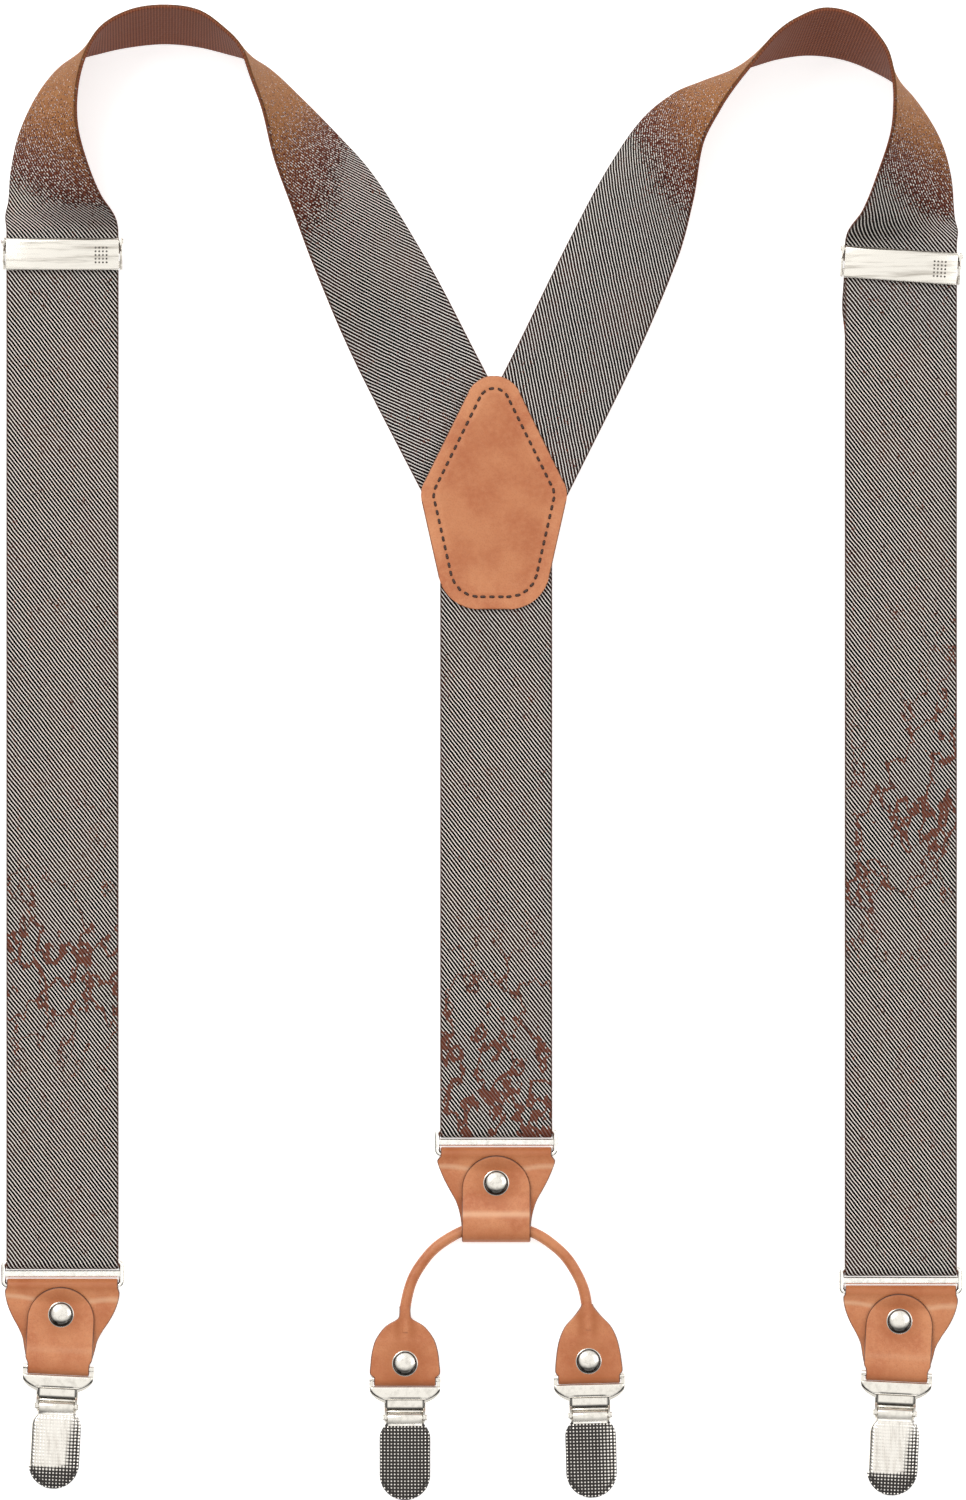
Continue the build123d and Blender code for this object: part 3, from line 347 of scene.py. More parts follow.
def knurled():
    """Nickel pressed with a square mesh. The weight is how deep and dark the painted shade in its
    recesses is.
    """
    s = Shader("knurled_nickel")
    across, along, weight = s.lie()
    where = s.place()
    columns, rows = (s.wave(s.math("DIVIDE", way, KNURL_PITCH)) for way in (across, along))
    rise = s.times(columns, rows)
    stud = s.step(rise, s.span(weight, -0.25, 0.5), s.span(weight, 0.05, 0.72))
    streak = s.streaks(where, (0.9, 0.12, 1.0), 3.0)
    # painted shade: near black and not metal, in the recesses
    deep = s.times(s.less(1.0, stud), s.step(weight, 0.05, 0.4))
    plate = s.mix(s.step(streak, 0.4, 0.8), rgb(242, 237, 229), rgb(212, 205, 196))
    dark = s.mix(s.noise(where, 0.5), rgb(8, 7, 8), rgb(34, 26, 25))
    s.set(
        Base_Color=s.tint(plate, deep, 0.97, dark),
        Metallic=s.span(deep, 1.0, 0.0),
        Specular_IOR_Level=0.15,
        Roughness=s.line(deep, 0.4, s.span(streak, 0.12, 0.26)),
    )
    return s.material


def grained(s, grain, low, high, smooth, rough, depth):
    """A material whose colour, roughness and height all follow one grain."""
    s.set(Base_Color=s.mix(grain, low, high), Roughness=s.span(grain, smooth, rough))
    s.bump(grain, depth)
    return s.material


def thread():
    """Waxed thread with a twist."""
    s = Shader("thread")
    across, along, _ = s.lie()
    twist = s.wave(s.line(along, 1.6, s.times(across, 1.2)))
    return grained(s, twist, rgb(34, 20, 16), rgb(88, 56, 42), 0.45, 0.7, 0.06)


def plastic():
    """Matte dark nylon."""
    s = Shader("grip_plastic")
    grain = s.noise(s.place(), 3.0, 3.0)
    return grained(s, grain, rgb(34, 32, 33), rgb(58, 54, 54), 0.5, 0.75, 0.03)


WEBBING = webbing()
LEATHER = leather()
NICKEL = nickel("nickel", (0.05, 0.7, 1.0))
RING_NICKEL = nickel("ring_nickel", (0.5, 0.5, 0.5), rgb(252, 249, 243), rgb(230, 226, 218))
CLIP_NICKEL = nickel("clip_nickel", (0.5, 0.5, 0.5), dull=rgb(218, 213, 204))
RIVET_NICKEL = nickel("rivet_nickel", (0.6, 0.6, 0.6), dull=rgb(206, 200, 192))
KNURLED = knurled()
# the adjusters' pressed dots, painted dark as their shade
DOT_SHADE_NICKEL = nickel("dark_nickel", (0.6, 0.6, 0.6), rgb(120, 114, 108), rgb(70, 64, 60))
THREAD = thread()
PLASTIC = plastic()


# ------------------------------------------------------------------ geometry helpers
def smoothstep(value, low=0.0, high=1.0):
    u = min(1.0, max(0.0, (value - low) / (high - low)))
    return u * u * (3 - 2 * u)


def bell(value, middle, width):
    """1 at middle, falling off smoothly on both sides."""
    return math.exp(-(((value - middle) / width) ** 2))


def dome(share):
    """The height of a quarter circle at a share of its width, from 0 at its foot to 1."""
    return math.sqrt(max(0.0, 1 - (1 - min(1.0, max(0.0, share))) ** 2))


def spread(half, count):
    """Places from -half to half that crowd towards both ends."""
    return [half * math.sin(math.pi / 2 * (-1 + 2 * k / (count - 1))) for k in range(count)]


def hermite(a, slope_a, b, slope_b, width, u):
    """A point at u, 0 to 1, on the cubic from a to b over width with those slopes at its ends."""
    return (
        a * (2 * u**3 - 3 * u**2 + 1)
        + slope_a * (width * (u**3 - 2 * u**2 + u))
        + b * (3 * u**2 - 2 * u**3)
        + slope_b * (width * (u**3 - u**2))
    )


def table_value(table, x):
    """A smooth value read from (x, value) pairs in rising order of x."""
    xs = [row[0] for row in table]
    if x <= xs[0]:
        return table[0][1]
    if x >= xs[-1]:
        return table[-1][1]
    n = bisect_right(xs, x) - 1

    def slope(k):
        k = min(max(k, 1), len(table) - 2)
        return (table[k + 1][1] - table[k - 1][1]) / (xs[k + 1] - xs[k - 1])

    width = xs[n + 1] - xs[n]
    return hermite(table[n][1], slope(n), table[n + 1][1], slope(n + 1), width, (x - xs[n]) / width)


def neighbours(items, n):
    """The items before and after number n, or the end item itself at an end."""
    return items[max(n - 1, 0)], items[min(n + 1, len(items) - 1)]


def travelled(points):
    """How far along a path each of its points lies."""
    return list(accumulate(((b - a).length for a, b in zip(points, points[1:])), initial=0.0))


def run_between(start, end, step):
    """Evenly spaced points after start, up to and including end."""
    gap = (end - start).length
    if gap < 1e-4:
        return []
    count = max(1, math.ceil(gap / step))
    return [start.lerp(end, k / count) for k in range(1, count + 1)]


def rounded_path(corners, step):
    """Points along straight runs joined by arcs. A corner is (x, y, radius)."""
    flat = [Vector(c[:2]) for c in corners]
    path = [flat[0]]
    for n in range(1, len(flat) - 1):
        radius = corners[n][2]
        before = (flat[n] - flat[n - 1]).normalized()
        after = (flat[n + 1] - flat[n]).normalized()
        turn = math.acos(max(-1.0, min(1.0, before.dot(after))))
        reach = radius * math.tan(turn / 2)
        start = flat[n] - before * reach
        path += run_between(path[-1], start, step)
        if radius > 0 and turn > 1e-4:
            side = 1.0 if before.cross(after) > 0 else -1.0
            middle = start + Vector((-before.y, before.x)) * radius * side
            spoke = start - middle
            pieces = max(3, math.ceil(turn / math.radians(12)))
            for k in range(1, pieces + 1):
                path.append(middle + Vector(turned(*spoke, math.degrees(side * turn * k / pieces))))
        else:
            path.append(flat[n] + after * reach)
    return path + run_between(path[-1], flat[-1], step)


def turned(x, y, degrees):
    angle = math.radians(degrees)
    return x * math.cos(angle) - y * math.sin(angle), x * math.sin(angle) + y * math.cos(angle)


def placed(origin, x, y, z, lean):
    """The point x to the right of origin and y up from it, in a plan that leans, at height z."""
    dx, dy = turned(x, y, lean)
    return Vector((origin[0] + dx, origin[1] + dy, z))


def below(origin, drop, lean):
    """The place in plan further down a strap that leans."""
    x, y = turned(0, -drop, lean)
    return origin[0] + x, origin[1] + y


def grid_faces(grid):
    """Quads over rows of vertex numbers."""
    return [
        (row[k], row[k + 1], after[k + 1], after[k])
        for row, after in zip(grid, grid[1:])
        for k in range(len(row) - 1)
    ]


def shell_faces(top, under):
    """Faces over two grids of vertex numbers and the wall between them. They may share numbers."""
    def border(grid):
        left, right = [row[0] for row in grid[1:-1]], [row[-1] for row in grid[1:-1]]
        return [*grid[0], *right, *grid[-1][::-1], *left[::-1]]

    faces = grid_faces(top) + [f[::-1] for f in grid_faces(under)]
    upper, lower = border(top), border(under)
    for n in range(len(upper)):
        faces.append((upper[n - 1], upper[n], lower[n], lower[n - 1]))
    faces = [tuple(dict.fromkeys(f)) for f in faces]
    return [f for f in faces if len(f) > 2]


def ring_faces(first, rings, spokes, tip=None):
    """Faces over rings of vertices from number first on, capped, or starting at a tip vertex."""
    faces = []
    for k in range(spokes):
        following = (k + 1) % spokes
        for n in range(rings - 1):
            a, b = first + n * spokes + k, first + n * spokes + following
            faces.append((a, b, b + spokes, a + spokes))
        if tip is not None:
            faces.append((tip, first + following, first + k))
    last = first + (rings - 1) * spokes
    faces.append(tuple(range(last, last + spokes)))
    if tip is None:
        faces.append(tuple(range(first, first + spokes))[::-1])
    return faces


def spokes_of(count):
    """Evenly spaced spokes, each as (angle, cosine, sine)."""
    angles = [2 * math.pi * k / count for k in range(count)]
    return [(a, math.cos(a), math.sin(a)) for a in angles]


def shown(name, work, mesh, material, sharp):
    """An object from a bmesh, smooth except over edges that turn more than sharp degrees."""
    work.to_mesh(mesh)
    work.free()
    mesh.shade_smooth()
    mesh.set_sharp_from_angle(angle=math.radians(sharp))
    mesh.materials.clear()
    mesh.materials.append(material)
    return link(name, mesh)


def piece(name, vertices, faces, material, lies=(), fronts=(), sharp=50):
    """A mesh object from points in mm."""
    mesh = bpy.data.meshes.new(name)
    mesh.from_pydata([v * MM for v in vertices], [], faces)
    if lies:
        lie = mesh.attributes.new("lie", "FLOAT_VECTOR", "POINT")
        lie.data.foreach_set("vector", [c for triple in lies for c in triple])
    if fronts:
        mesh.attributes.new("front", "FLOAT", "POINT").data.foreach_set("value", fronts)
    work = bmesh.new()
    work.from_mesh(mesh)
    bmesh.ops.recalc_face_normals(work, faces=work.faces)
    return shown(name, work, mesh, material, sharp)


def bevel(work, width, turn, clamp):
    """Round off the edges of a bmesh that turn more than turn degrees."""
    limit = math.radians(turn)
    sharp = [e for e in work.edges if e.is_manifold and e.calc_face_angle(0.0) > limit]
    bmesh.ops.bevel(
        work, geom=sharp, offset=width * MM, segments=2, profile=0.5, affect="EDGES",
        clamp_overlap=clamp,
    )


def stand_in(made, slot, *replaced, body=None):
    """made takes the place of CAD nodes, on their body."""
    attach(made, body or body_of[replaced[0]])
    if replaced:
        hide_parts(*replaced)
    return made


# ------------------------------------------------------------------ strips
class Station:
    """One cross-section of a strip: its centre, its right side, its front, and its half width.

    end is how far it is from the strip's end, where that rounds the edge off, thick its own
    thickness where the strip's does not hold, and down how far it is below the strip's origin.
    """

    def __init__(self, centre, right, front, half, along, weight=0.0, down=0.0):
        self.centre, self.right, self.front = centre, right.normalized(), front.normalized()
        self.half, self.along, self.weight, self.down = half, along, weight, down
        self.end, self.thick = math.inf, None


RIM_SHARES = (0.0, 0.03, 0.12, 0.28, 0.5, 0.74)     # columns of points across a rounded edge
RIM_TAPER = 1.25                                    # a rim shrinks on half widths under this
                                                    # many rims


def strip(name, stations, thick, rim, material, inner=8, relief=None, weigh=None, gap=None):
    """A strip of cloth or leather with rounded edges, as one closed mesh.

    relief(x, station) raises the front, weigh(x, station) is the weight its shader reads, and
    gap(x, station) is how far a point is from the nearest edge.
    """
    vertices, lies, fronts = [], [], []
    tops, bottoms = [], []
    for n, st in enumerate(stations):
        before, after = neighbours(stations, n)
        travel = max(abs(after.along - before.along), 1e-6)
        slope = 1 / math.hypot(1, (after.half - before.half) / travel)
        share = min(1.0, st.half / (RIM_TAPER * rim))
        level = st.half - rim * share
        side = [st.half - q * rim * share for q in RIM_SHARES]
        side += [level * (1 - k / inner) for k in range(inner)]
        xs = [-x for x in side] + [0.0] + side[::-1]
        top, bottom = [], []
        for k, x in enumerate(xs):
            space = gap(x, st) if gap else min((st.half - abs(x)) * slope, st.end)
            reach = rim if gap else min(rim, max(st.half, 1e-3))
            q = min(1.0, max(0.0, space / reach))
            edge = k in (0, len(xs) - 1) or st.end <= 0
            height = 0.0 if edge else (st.thick or thick) / 2 * dome(q)
            lift = relief(x, st) if relief and not edge else 0.0
            middle = st.centre + st.right * x
            lie = (x, st.along, weigh(x, st) if weigh else st.weight)
            top.append(len(vertices))
            vertices.append(middle + st.front * (height + lift))
            lies.append(lie)
            fronts.append(0.5 if edge else 0.5 + 0.5 * q)
            if not edge:
                vertices.append(middle - st.front * height)
                lies.append(lie)
                fronts.append(0.5 - 0.5 * q)
            bottom.append(len(vertices) - 1)
        tops.append(top)
        bottoms.append(bottom)
    return piece(name, vertices, shell_faces(tops, bottoms), material, lies, fronts)


def stations_in_side_view(origin, path, half, lean=0.0):
    """Stations of a strip that follows a side view path of (y, z) and leans in plan.

    half and lean are numbers, or are worked out from (along, y).
    """
    made = []
    for n, (point, along) in enumerate(zip(path, travelled(path))):
        before, after = neighbours(path, n)
        way = (after - before).normalized()
        angle = lean(along, point.x) if callable(lean) else lean
        right = Vector((*turned(1, 0, angle), 0))
        forward = Vector((*turned(0, way.x, angle), way.y))
        made.append(Station(
            placed(origin, 0, point.x, point.y, angle),
            right,
            right.cross(forward),
            half(along, point.x) if callable(half) else half,
            along,
            down=-point.x,
        ))
    return made


# ------------------------------------------------------------------ straps
# Plan of the shoulder loops up from the level strap: each row is the edge that stays on the
# table and then the edge that rises, (x, y, x, y).
LEFT_LOOP = [
    (-148.2, 172.0, -118.8, 173.5), (-147.2, 182.0, -123.2, 184.0),
    (-144.3, 194.0, -126.2, 195.5), (-137.7, 207.0, -126.1, 207.5),
    (-129.5, 215.6, -123.3, 218.0), (-119.3, 218.9, -118.3, 226.0),
    (-109.5, 220.9, -109.3, 231.0), (-99.2, 221.8, -98.8, 232.4),
    (-89.0, 220.9, -88.4, 230.8), (-79.3, 218.6, -80.4, 225.2),
    (-72.0, 216.4, -75.2, 219.4), (-66.0, 212.8, -71.9, 210.5),
    (-56.9, 204.4, -68.2, 200.0), (-46.4, 194.0, -64.8, 185.5),
    (-35.3, 181.9, -59.3, 170.0), (-23.1, 163.5, -52.1, 150.5),
    (-2.2, 125.0, -33.2, 108.9),
]
RIGHT_LOOP = [
    (147.6, 167.0, 118.3, 168.5), (146.3, 180.0, 123.6, 181.5),
    (143.0, 191.0, 127.3, 193.0), (137.2, 200.8, 128.3, 203.0),
    (130.7, 208.2, 127.7, 211.5), (121.9, 213.4, 125.1, 220.2),
    (112.5, 216.9, 117.2, 228.8), (102.0, 218.2, 106.9, 231.6),
    (92.5, 217.1, 97.6, 228.2), (84.5, 214.8, 91.2, 223.3),
    (76.8, 212.2, 84.6, 215.4), (68.2, 209.2, 78.4, 207.5),
    (60.0, 205.8, 73.9, 200.5), (50.4, 198.2, 68.5, 189.5),
    (40.4, 184.4, 65.6, 172.0), (30.6, 167.0, 60.3, 152.5),
    (9.8, 125.0, 41.1, 109.3),
]
WEB_RIM = 0.55
LOOP_STEPS = 12
RISING_SHARE = 0.4                # how much of a loop's points come before its crest
WEB_BACK_MID, WEB_FRONT_MID = WEB_T / 2, FRONT_Z + WEB_T / 2
WEB_FOLD_MID = FOLD_R + WEB_T / 2
WEB_FOLD = [
    (0, WEB_BACK_MID, 0),
    (-WEB_FOLD_MID, WEB_BACK_MID, WEB_FOLD_MID),
    (-WEB_FOLD_MID, WEB_FRONT_MID, WEB_FOLD_MID),
    (0, WEB_FRONT_MID, 0),
]


def edge_curve(points, travel, last_way):
    """A smooth curve through points that lie at the given travels, setting out up the strap."""
    ways = [Vector((0, 1, 0))]
    for n in range(1, len(points) - 1):
        ways.append((points[n + 1] - points[n - 1]) / (travel[n + 1] - travel[n - 1]))
    ways.append(last_way)
    curve = []
    for n in range(len(points) - 1):
        reach = travel[n + 1] - travel[n]
        for k in range(LOOP_STEPS):
            curve.append(
                hermite(points[n], ways[n], points[n + 1], ways[n + 1], reach, k / LOOP_STEPS)
            )
    return curve + [points[-1]]


def loop_edges(loop, start_z, end_z):
    """The table edge and the raised edge of a shoulder loop, and its way into the yoke."""
    edges = []
    for n, (ax, ay, bx, by) in enumerate(loop):
        width = min(math.hypot(bx - ax, by - ay), WEB_W)
        low = 0.5 * WEB_T * width / WEB_W + 3 * GAP
        high = low + math.sqrt(WEB_W**2 - width**2)
        if n in (0, len(loop) - 1):
            low = high = end_z if n else start_z
        edges.append((Vector((ax, ay, low)), Vector((bx, by, high))))
    travel = travelled([(a + b) / 2 for a, b in edges])
    a, b = edges[-1]
    down = (b - a).normalized().cross(Vector((0, 0, 1)))
    down = down if down.y < 0 else -down
    return *(edge_curve(edge, travel, down) for edge in zip(*edges)), down


# (how steeply the webbing stands, share of its face turned tan by painted sheen) up to the bend and
# down from it
RISING_SHEEN = [
    (0.0, 0.0), (0.35, 0.04), (0.6, 0.2), (0.75, 0.44), (0.87, 0.7), (0.96, 0.92), (1.0, 1.0),
]
FALLING_SHEEN = [
    (0.0, 0.0), (0.45, 0.02), (0.65, 0.16), (0.8, 0.45), (0.9, 0.72), (0.97, 0.92), (1.0, 1.0),
]
SHEEN_LEAN = 0.55                   # how far the painted sheen reaches down one side of the strap


def front_strap(name, ring, flat_y, loop, yoke_z, hand, wear_and_shade):
    """Webbing from the fold round the ring, up, over the shoulder and into the yoke.

    hand is 1 where the raised edge is on the strap's right, and -1 where it is on its left.
    wear(x, y) is how far the twill has worn off.
    """
    fold = rounded_path([*WEB_FOLD, (flat_y - ring[1] - 1.0, WEB_FRONT_MID, 0)], 3.0)
    made = stations_in_side_view(ring, fold, WEB_W / 2)
    start = made[-1].along + 1.0
    side = hand * WEB_W / 2
    loop = [(ring[0] - side, flat_y, ring[0] + side, flat_y), *loop]
    outer, inner, down = loop_edges(loop, WEB_FRONT_MID, yoke_z + WEB_T / 2)
    centres = [(a + b) / 2 for a, b in zip(outer, inner)]
    for n, (a, b, travel) in enumerate(zip(outer, inner, travelled(centres))):
        before, after = neighbours(centres, n)
        right = (b - a).normalized() * hand
        rising = n < len(centres) * RISING_SHARE
        if rising:
            crest = start + travel
        tan = RISING_SHEEN if rising and hand > 0 else FALLING_SHEEN
        made.append(Station(
            centres[n], right, right.cross(after - before), WEB_W / 2, start + travel,
            table_value(tan, abs(b.z - a.z) / WEB_W),
        ))
    last = made[-1]
    for k in (0.5, 1.0):
        gap = (STRAP_CUT_Y - last.centre.y) / down.y * k
        made.append(Station(
            last.centre + down * gap, last.right, last.front, WEB_W / 2, last.along + gap
        ))

    # the share of painted sheen, leaning across the strap, or else how far the twill is worn
    def weigh(x, st):
        way = 1 if st.along <= crest else hand
        lean = SHEEN_LEAN * x * way / WEB_W * smoothstep(st.weight, 0.0, 0.16) * (1 - st.weight)
        return max(0.0, st.weight + lean) or -wear_and_shade(x, st.centre.y)

    return strip(name, made, WEB_T, WEB_RIM, WEBBING, inner=9, weigh=weigh), made[-1].along


def left_wear(x, y):
    """How far the twill has worn to its brown ground, 0 to 1: here a band across the strap."""
    return 0.03 + 0.5 * bell(y, -68.0, 19.0)


def right_wear(x, y):
    """A longer patch that climbs, and is stronger, towards the outer edge."""
    return 0.035 + 0.56 * bell(y - 0.8 * x, -18.0, 27.0) * (0.75 + 0.25 * x / 17.5)


def back_wear(x, y):
    """Wear that grows down to the ring."""
    return 0.03 + 0.5 * smoothstep(-y, 45.0, 105.0)


left_ring, right_ring, back_ring = (
    (LEFT_X, LEFT_RING_Y), (RIGHT_X, RIGHT_RING_Y), (BACK_X, BACK_RING_Y)
)
lengths = {}
for side, ring, flat_y, loop, yoke_z, hand, wear_and_shade in (
    ("left", left_ring, LEFT_FLAT_Y, LEFT_LOOP, YOKE_LOWER_Z, 1, left_wear),
    ("right", right_ring, RIGHT_FLAT_Y, RIGHT_LOOP, YOKE_UPPER_Z, -1, right_wear),
):
    strap, lengths[side] = front_strap(
        f"{side}_strap_web", ring, flat_y, loop, yoke_z, hand, wear_and_shade
    )
    stand_in(strap, "webbing", f"{side}_strap")

for side, ring, adjuster_y in (
    ("left", left_ring, LEFT_ADJUSTER_Y),
    ("right", right_ring, RIGHT_ADJUSTER_Y),
):
    length = adjuster_y - SEAM_DROP - ring[1]
    path = run_between(Vector((-4.0, WEB_BACK_MID)), Vector((length, WEB_BACK_MID)), 4.0)
    path = [Vector((0.0, WEB_BACK_MID)), *(p for p in path if p.x > 0.01)]
    stations = stations_in_side_view(ring, path[::-1], WEB_W / 2)
    layer = strip(f"{side}_return_web", stations, WEB_T, WEB_RIM, WEBBING, inner=6)
    stand_in(layer, "webbing", f"{side}_strap_return")
    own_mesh(layer)

BACK_END = STRAP_CUT_Y - 0.5 - BACK_RING_Y
BACK_LEVEL_Z = WEB_T * 1.5 + GAP
YOKE_MOUTH, YOKE_RAMP = 146.0, 14.0   # where the layers part for the yoke, and over how much
BACK_BEND_R = 8.0
back_path = rounded_path(
    [
        (BACK_END, YOKE_LOWER_Z + WEB_T / 2, 0),
        (YOKE_MOUTH + YOKE_RAMP, YOKE_LOWER_Z + WEB_T / 2, BACK_BEND_R),
        (YOKE_MOUTH, WEB_BACK_MID, BACK_BEND_R),
        *WEB_FOLD,
        (4, WEB_FRONT_MID, BACK_BEND_R),
        (14, BACK_LEVEL_Z, BACK_BEND_R),
        (YOKE_MOUTH, BACK_LEVEL_Z, BACK_BEND_R),
        (YOKE_MOUTH + YOKE_RAMP, YOKE_UPPER_Z + WEB_T / 2, BACK_BEND_R),
        (BACK_END, YOKE_UPPER_Z + WEB_T / 2, 0),
    ],
    3.5,
)
back_stations = stations_in_side_view(back_ring, back_path, WEB_W / 2)
back_web = strip(
    "back_strap_web", back_stations, WEB_T, WEB_RIM, WEBBING, inner=6,
    weigh=lambda x, st: -back_wear(x, st.centre.y),
)
stand_in(back_web, "webbing", "back_strap")
lengths["back"] = back_stations[-1].along

# the sewn end of each front strap, which goes round the adjuster's bar
END_BAR_TURN = -2.0
END_FOLD_MID = 0.95
FLAP_L = 16.0
ADJUSTERS = (
    ("left", (LEFT_X, LEFT_ADJUSTER_Y), 0.0),
    ("right", (RIGHT_X, RIGHT_ADJUSTER_Y), RIGHT_ADJUSTER_SKEW),
)
for side, origin, skew in ADJUSTERS:
    end_path = rounded_path(
        [
            (-SEAM_DROP + 0.05, WEB_BACK_MID, 0),
            (END_BAR_TURN + END_FOLD_MID, WEB_BACK_MID, END_FOLD_MID),
            (END_BAR_TURN + END_FOLD_MID, WEB_BACK_MID + 2 * END_FOLD_MID, END_FOLD_MID),
            (END_BAR_TURN - FLAP_L, WEB_BACK_MID + 2 * END_FOLD_MID, 0),
        ],
        2.0,
    )
    end_stations = stations_in_side_view(
        origin, end_path, WEB_W / 2,
        lean=lambda along, y, skew=skew: skew * smoothstep(y, -SEAM_DROP, -12.0),
    )
    for st in end_stations:
        st.front, st.right = -st.front, -st.right
    end_web = strip(f"{side}_end_web", end_stations, WEB_T - 0.02, WEB_RIM, WEBBING, inner=6)
    stand_in(end_web, "webbing", f"{side}_strap_end")

# ------------------------------------------------------------------ yoke
YOKE_CORNERS = [
    (YOKE_X - YOKE_FOOT[0], YOKE_FOOT[1], YOKE_FOOT_R),
    (YOKE_X + YOKE_FOOT[0], YOKE_FOOT[1], YOKE_FOOT_R),
    (YOKE_X + YOKE_SIDE[0], YOKE_SIDE[1], YOKE_SIDE_R),
    (YOKE_X, YOKE_TOP, YOKE_APEX_R),
    (YOKE_X - YOKE_SIDE[0], YOKE_SIDE[1], YOKE_SIDE_R),
]


def yoke_outline(inset, step):
    """The yoke's outline moved inwards by inset, as (point, way) all round."""
    start = (Vector(YOKE_CORNERS[0][:2]) + Vector(YOKE_CORNERS[-1][:2])) / 2
    path = rounded_path([(*start, 0), *YOKE_CORNERS, (*start, 0)], step)[:-1]
    spaced = []
    for n, point in enumerate(path):
        way = (path[(n + 1) % len(path)] - path[n - 1]).normalized()
        spaced.append((point + Vector((-way.y, way.x)) * inset, way))
    return spaced


yoke_edge = [p for p, _ in yoke_outline(0.0, 0.5)]
YOKE_LOW, YOKE_HIGH = min(p.y for p in yoke_edge), max(p.y for p in yoke_edge)
YOKE_ROWS, YOKE_RIM = 95, 0.55


def yoke_half(y):
    """Half the yoke's width at y."""
    best = 0.0
    for p, q in zip(yoke_edge, yoke_edge[1:] + yoke_edge[:1]):
        if min(p.y, q.y) <= y <= max(p.y, q.y) and abs(p.y - q.y) > 1e-9:
            u = (y - p.y) / (q.y - p.y)
            best = max(best, abs(p.x + (q.x - p.x) * u - YOKE_X))
    return best


def yoke_gap(x, st):
    """How far a point of the yoke is from its edge."""
    here = Vector((YOKE_X + x, st.centre.y))
    return min((here - p).length for p in yoke_edge)


def yoke_leather(name, mid_z, relief):
    """One face of the yoke. relief is 1 for a pressed stitch line and a slight crown."""
    ys = [YOKE_LOW + q for q in (0.02, 0.1, 0.3, 0.6)]
    tall = YOKE_HIGH - YOKE_LOW - 1.6
    ys += [YOKE_LOW + 1.0 + tall * k / YOKE_ROWS for k in range(YOKE_ROWS + 1)]
    ys += [YOKE_HIGH - q for q in (0.35, 0.15, 0.03)]
    right, front = Vector((1, 0, 0)), Vector((0, 0, 1))
    made = [
        Station(Vector((YOKE_X, y, mid_z)), right, front, max(yoke_half(y), 0.4), y - YOKE_LOW)
        for y in ys
    ]
    made[0].end = made[-1].end = 0.0

    def height(x, st):
        near = yoke_gap(x, st)
        return relief * (0.1 * smoothstep(near, 4.0, 14.0) - 0.16 * bell(near, STITCH_INSET, 0.7))

    def shade(x, st):
        near = yoke_gap(x, st)
        pressed = 0.28 * bell(near, STITCH_INSET, 0.9)
        middle = 0.34 * smoothstep(near, STITCH_INSET + 0.5, STITCH_INSET + 2.5)
        foot = 0.2 * (1 - smoothstep(st.along, 4.0, 16.0))
        return 0.06 + pressed + middle - foot * (middle > 0.05)

    return strip(
        name, made, LEATHER_T, YOKE_RIM, LEATHER, inner=26, relief=height, weigh=shade,
        gap=yoke_gap,
    )


for place, mid_z, relief in (
    ("front", YOKE_FRONT_Z + LEATHER_T / 2, 1.0),
    ("back", LEATHER_T / 2, 0.0),
):
    stand_in(yoke_leather(f"yoke_{place}_leather", mid_z, relief), "leather", f"yoke_{place}")


STITCH_L, STITCH_R, STITCH_DIP, STITCH_FLAT = 1.95, 0.42, 0.32, 0.72


def stitch_row(name, spots, top_z):
    """A row of stitches. Each is a short length of thread that dips in at both ends."""
    vertices, faces, lies = [], [], []
    rings, spokes = 9, 8
    for point, way in spots:
        side = Vector((-way.y, way.x))
        faces += ring_faces(len(vertices), rings, spokes)
        for n in range(rings):
            u = -1 + 2 * n / (rings - 1)
            size = STITCH_R * math.sqrt(max(0.02, 1 - u**4))
            middle = Vector((*(point + way * (u * STITCH_L / 2)), top_z - STITCH_DIP * u**4))
            for k, (_, across, up) in enumerate(spokes_of(spokes)):
                flat = side * (size * across)
                vertices.append(middle + Vector((*flat, STITCH_FLAT * size * up)))
                lies.append((k / spokes, u * STITCH_L / 2, 0.0))
    return piece(name, vertices, faces, THREAD, lies)


seam = yoke_outline(STITCH_INSET, 0.2)
seam_length = sum((seam[n][0] - seam[n - 1][0]).length for n in range(len(seam)))
stitch_count = round(seam_length / STITCH_PITCH)
spots = []
walked, wanted = 0.0, 0.0
for here, there in zip(seam, seam[1:] + seam[:1]):
    step = (there[0] - here[0]).length
    while walked + step > wanted and len(spots) < stitch_count:
        spots.append((here[0].lerp(there[0], (wanted - walked) / step), here[1]))
        wanted += seam_length / stitch_count
    walked += step
yoke_stitches = stitch_row("yoke_stitches", spots, YOKE_FRONT_Z + LEATHER_T - 0.02)
stand_in(yoke_stitches, "thread", "yoke_thread")

# ------------------------------------------------------------------ leather tabs
TAB_FOLD_MID = FOLD_R + LEATHER_T / 2
TAB_BACK_MID = BAR_Z - TAB_FOLD_MID
HIDE_MID = HIDE_Z + LEATHER_T / 2
TONGUE_MID = TONGUE_Z + LEATHER_T / 2
FLAP_MID = BACK_FLAP_Z + LEATHER_T / 2
CORD_FOLD_MID = CORD_R + 0.1 + LEATHER_T / 2
LEVEL_END = -13.5
TIP_Y = -0.4
LEATHER_RIM = 0.5
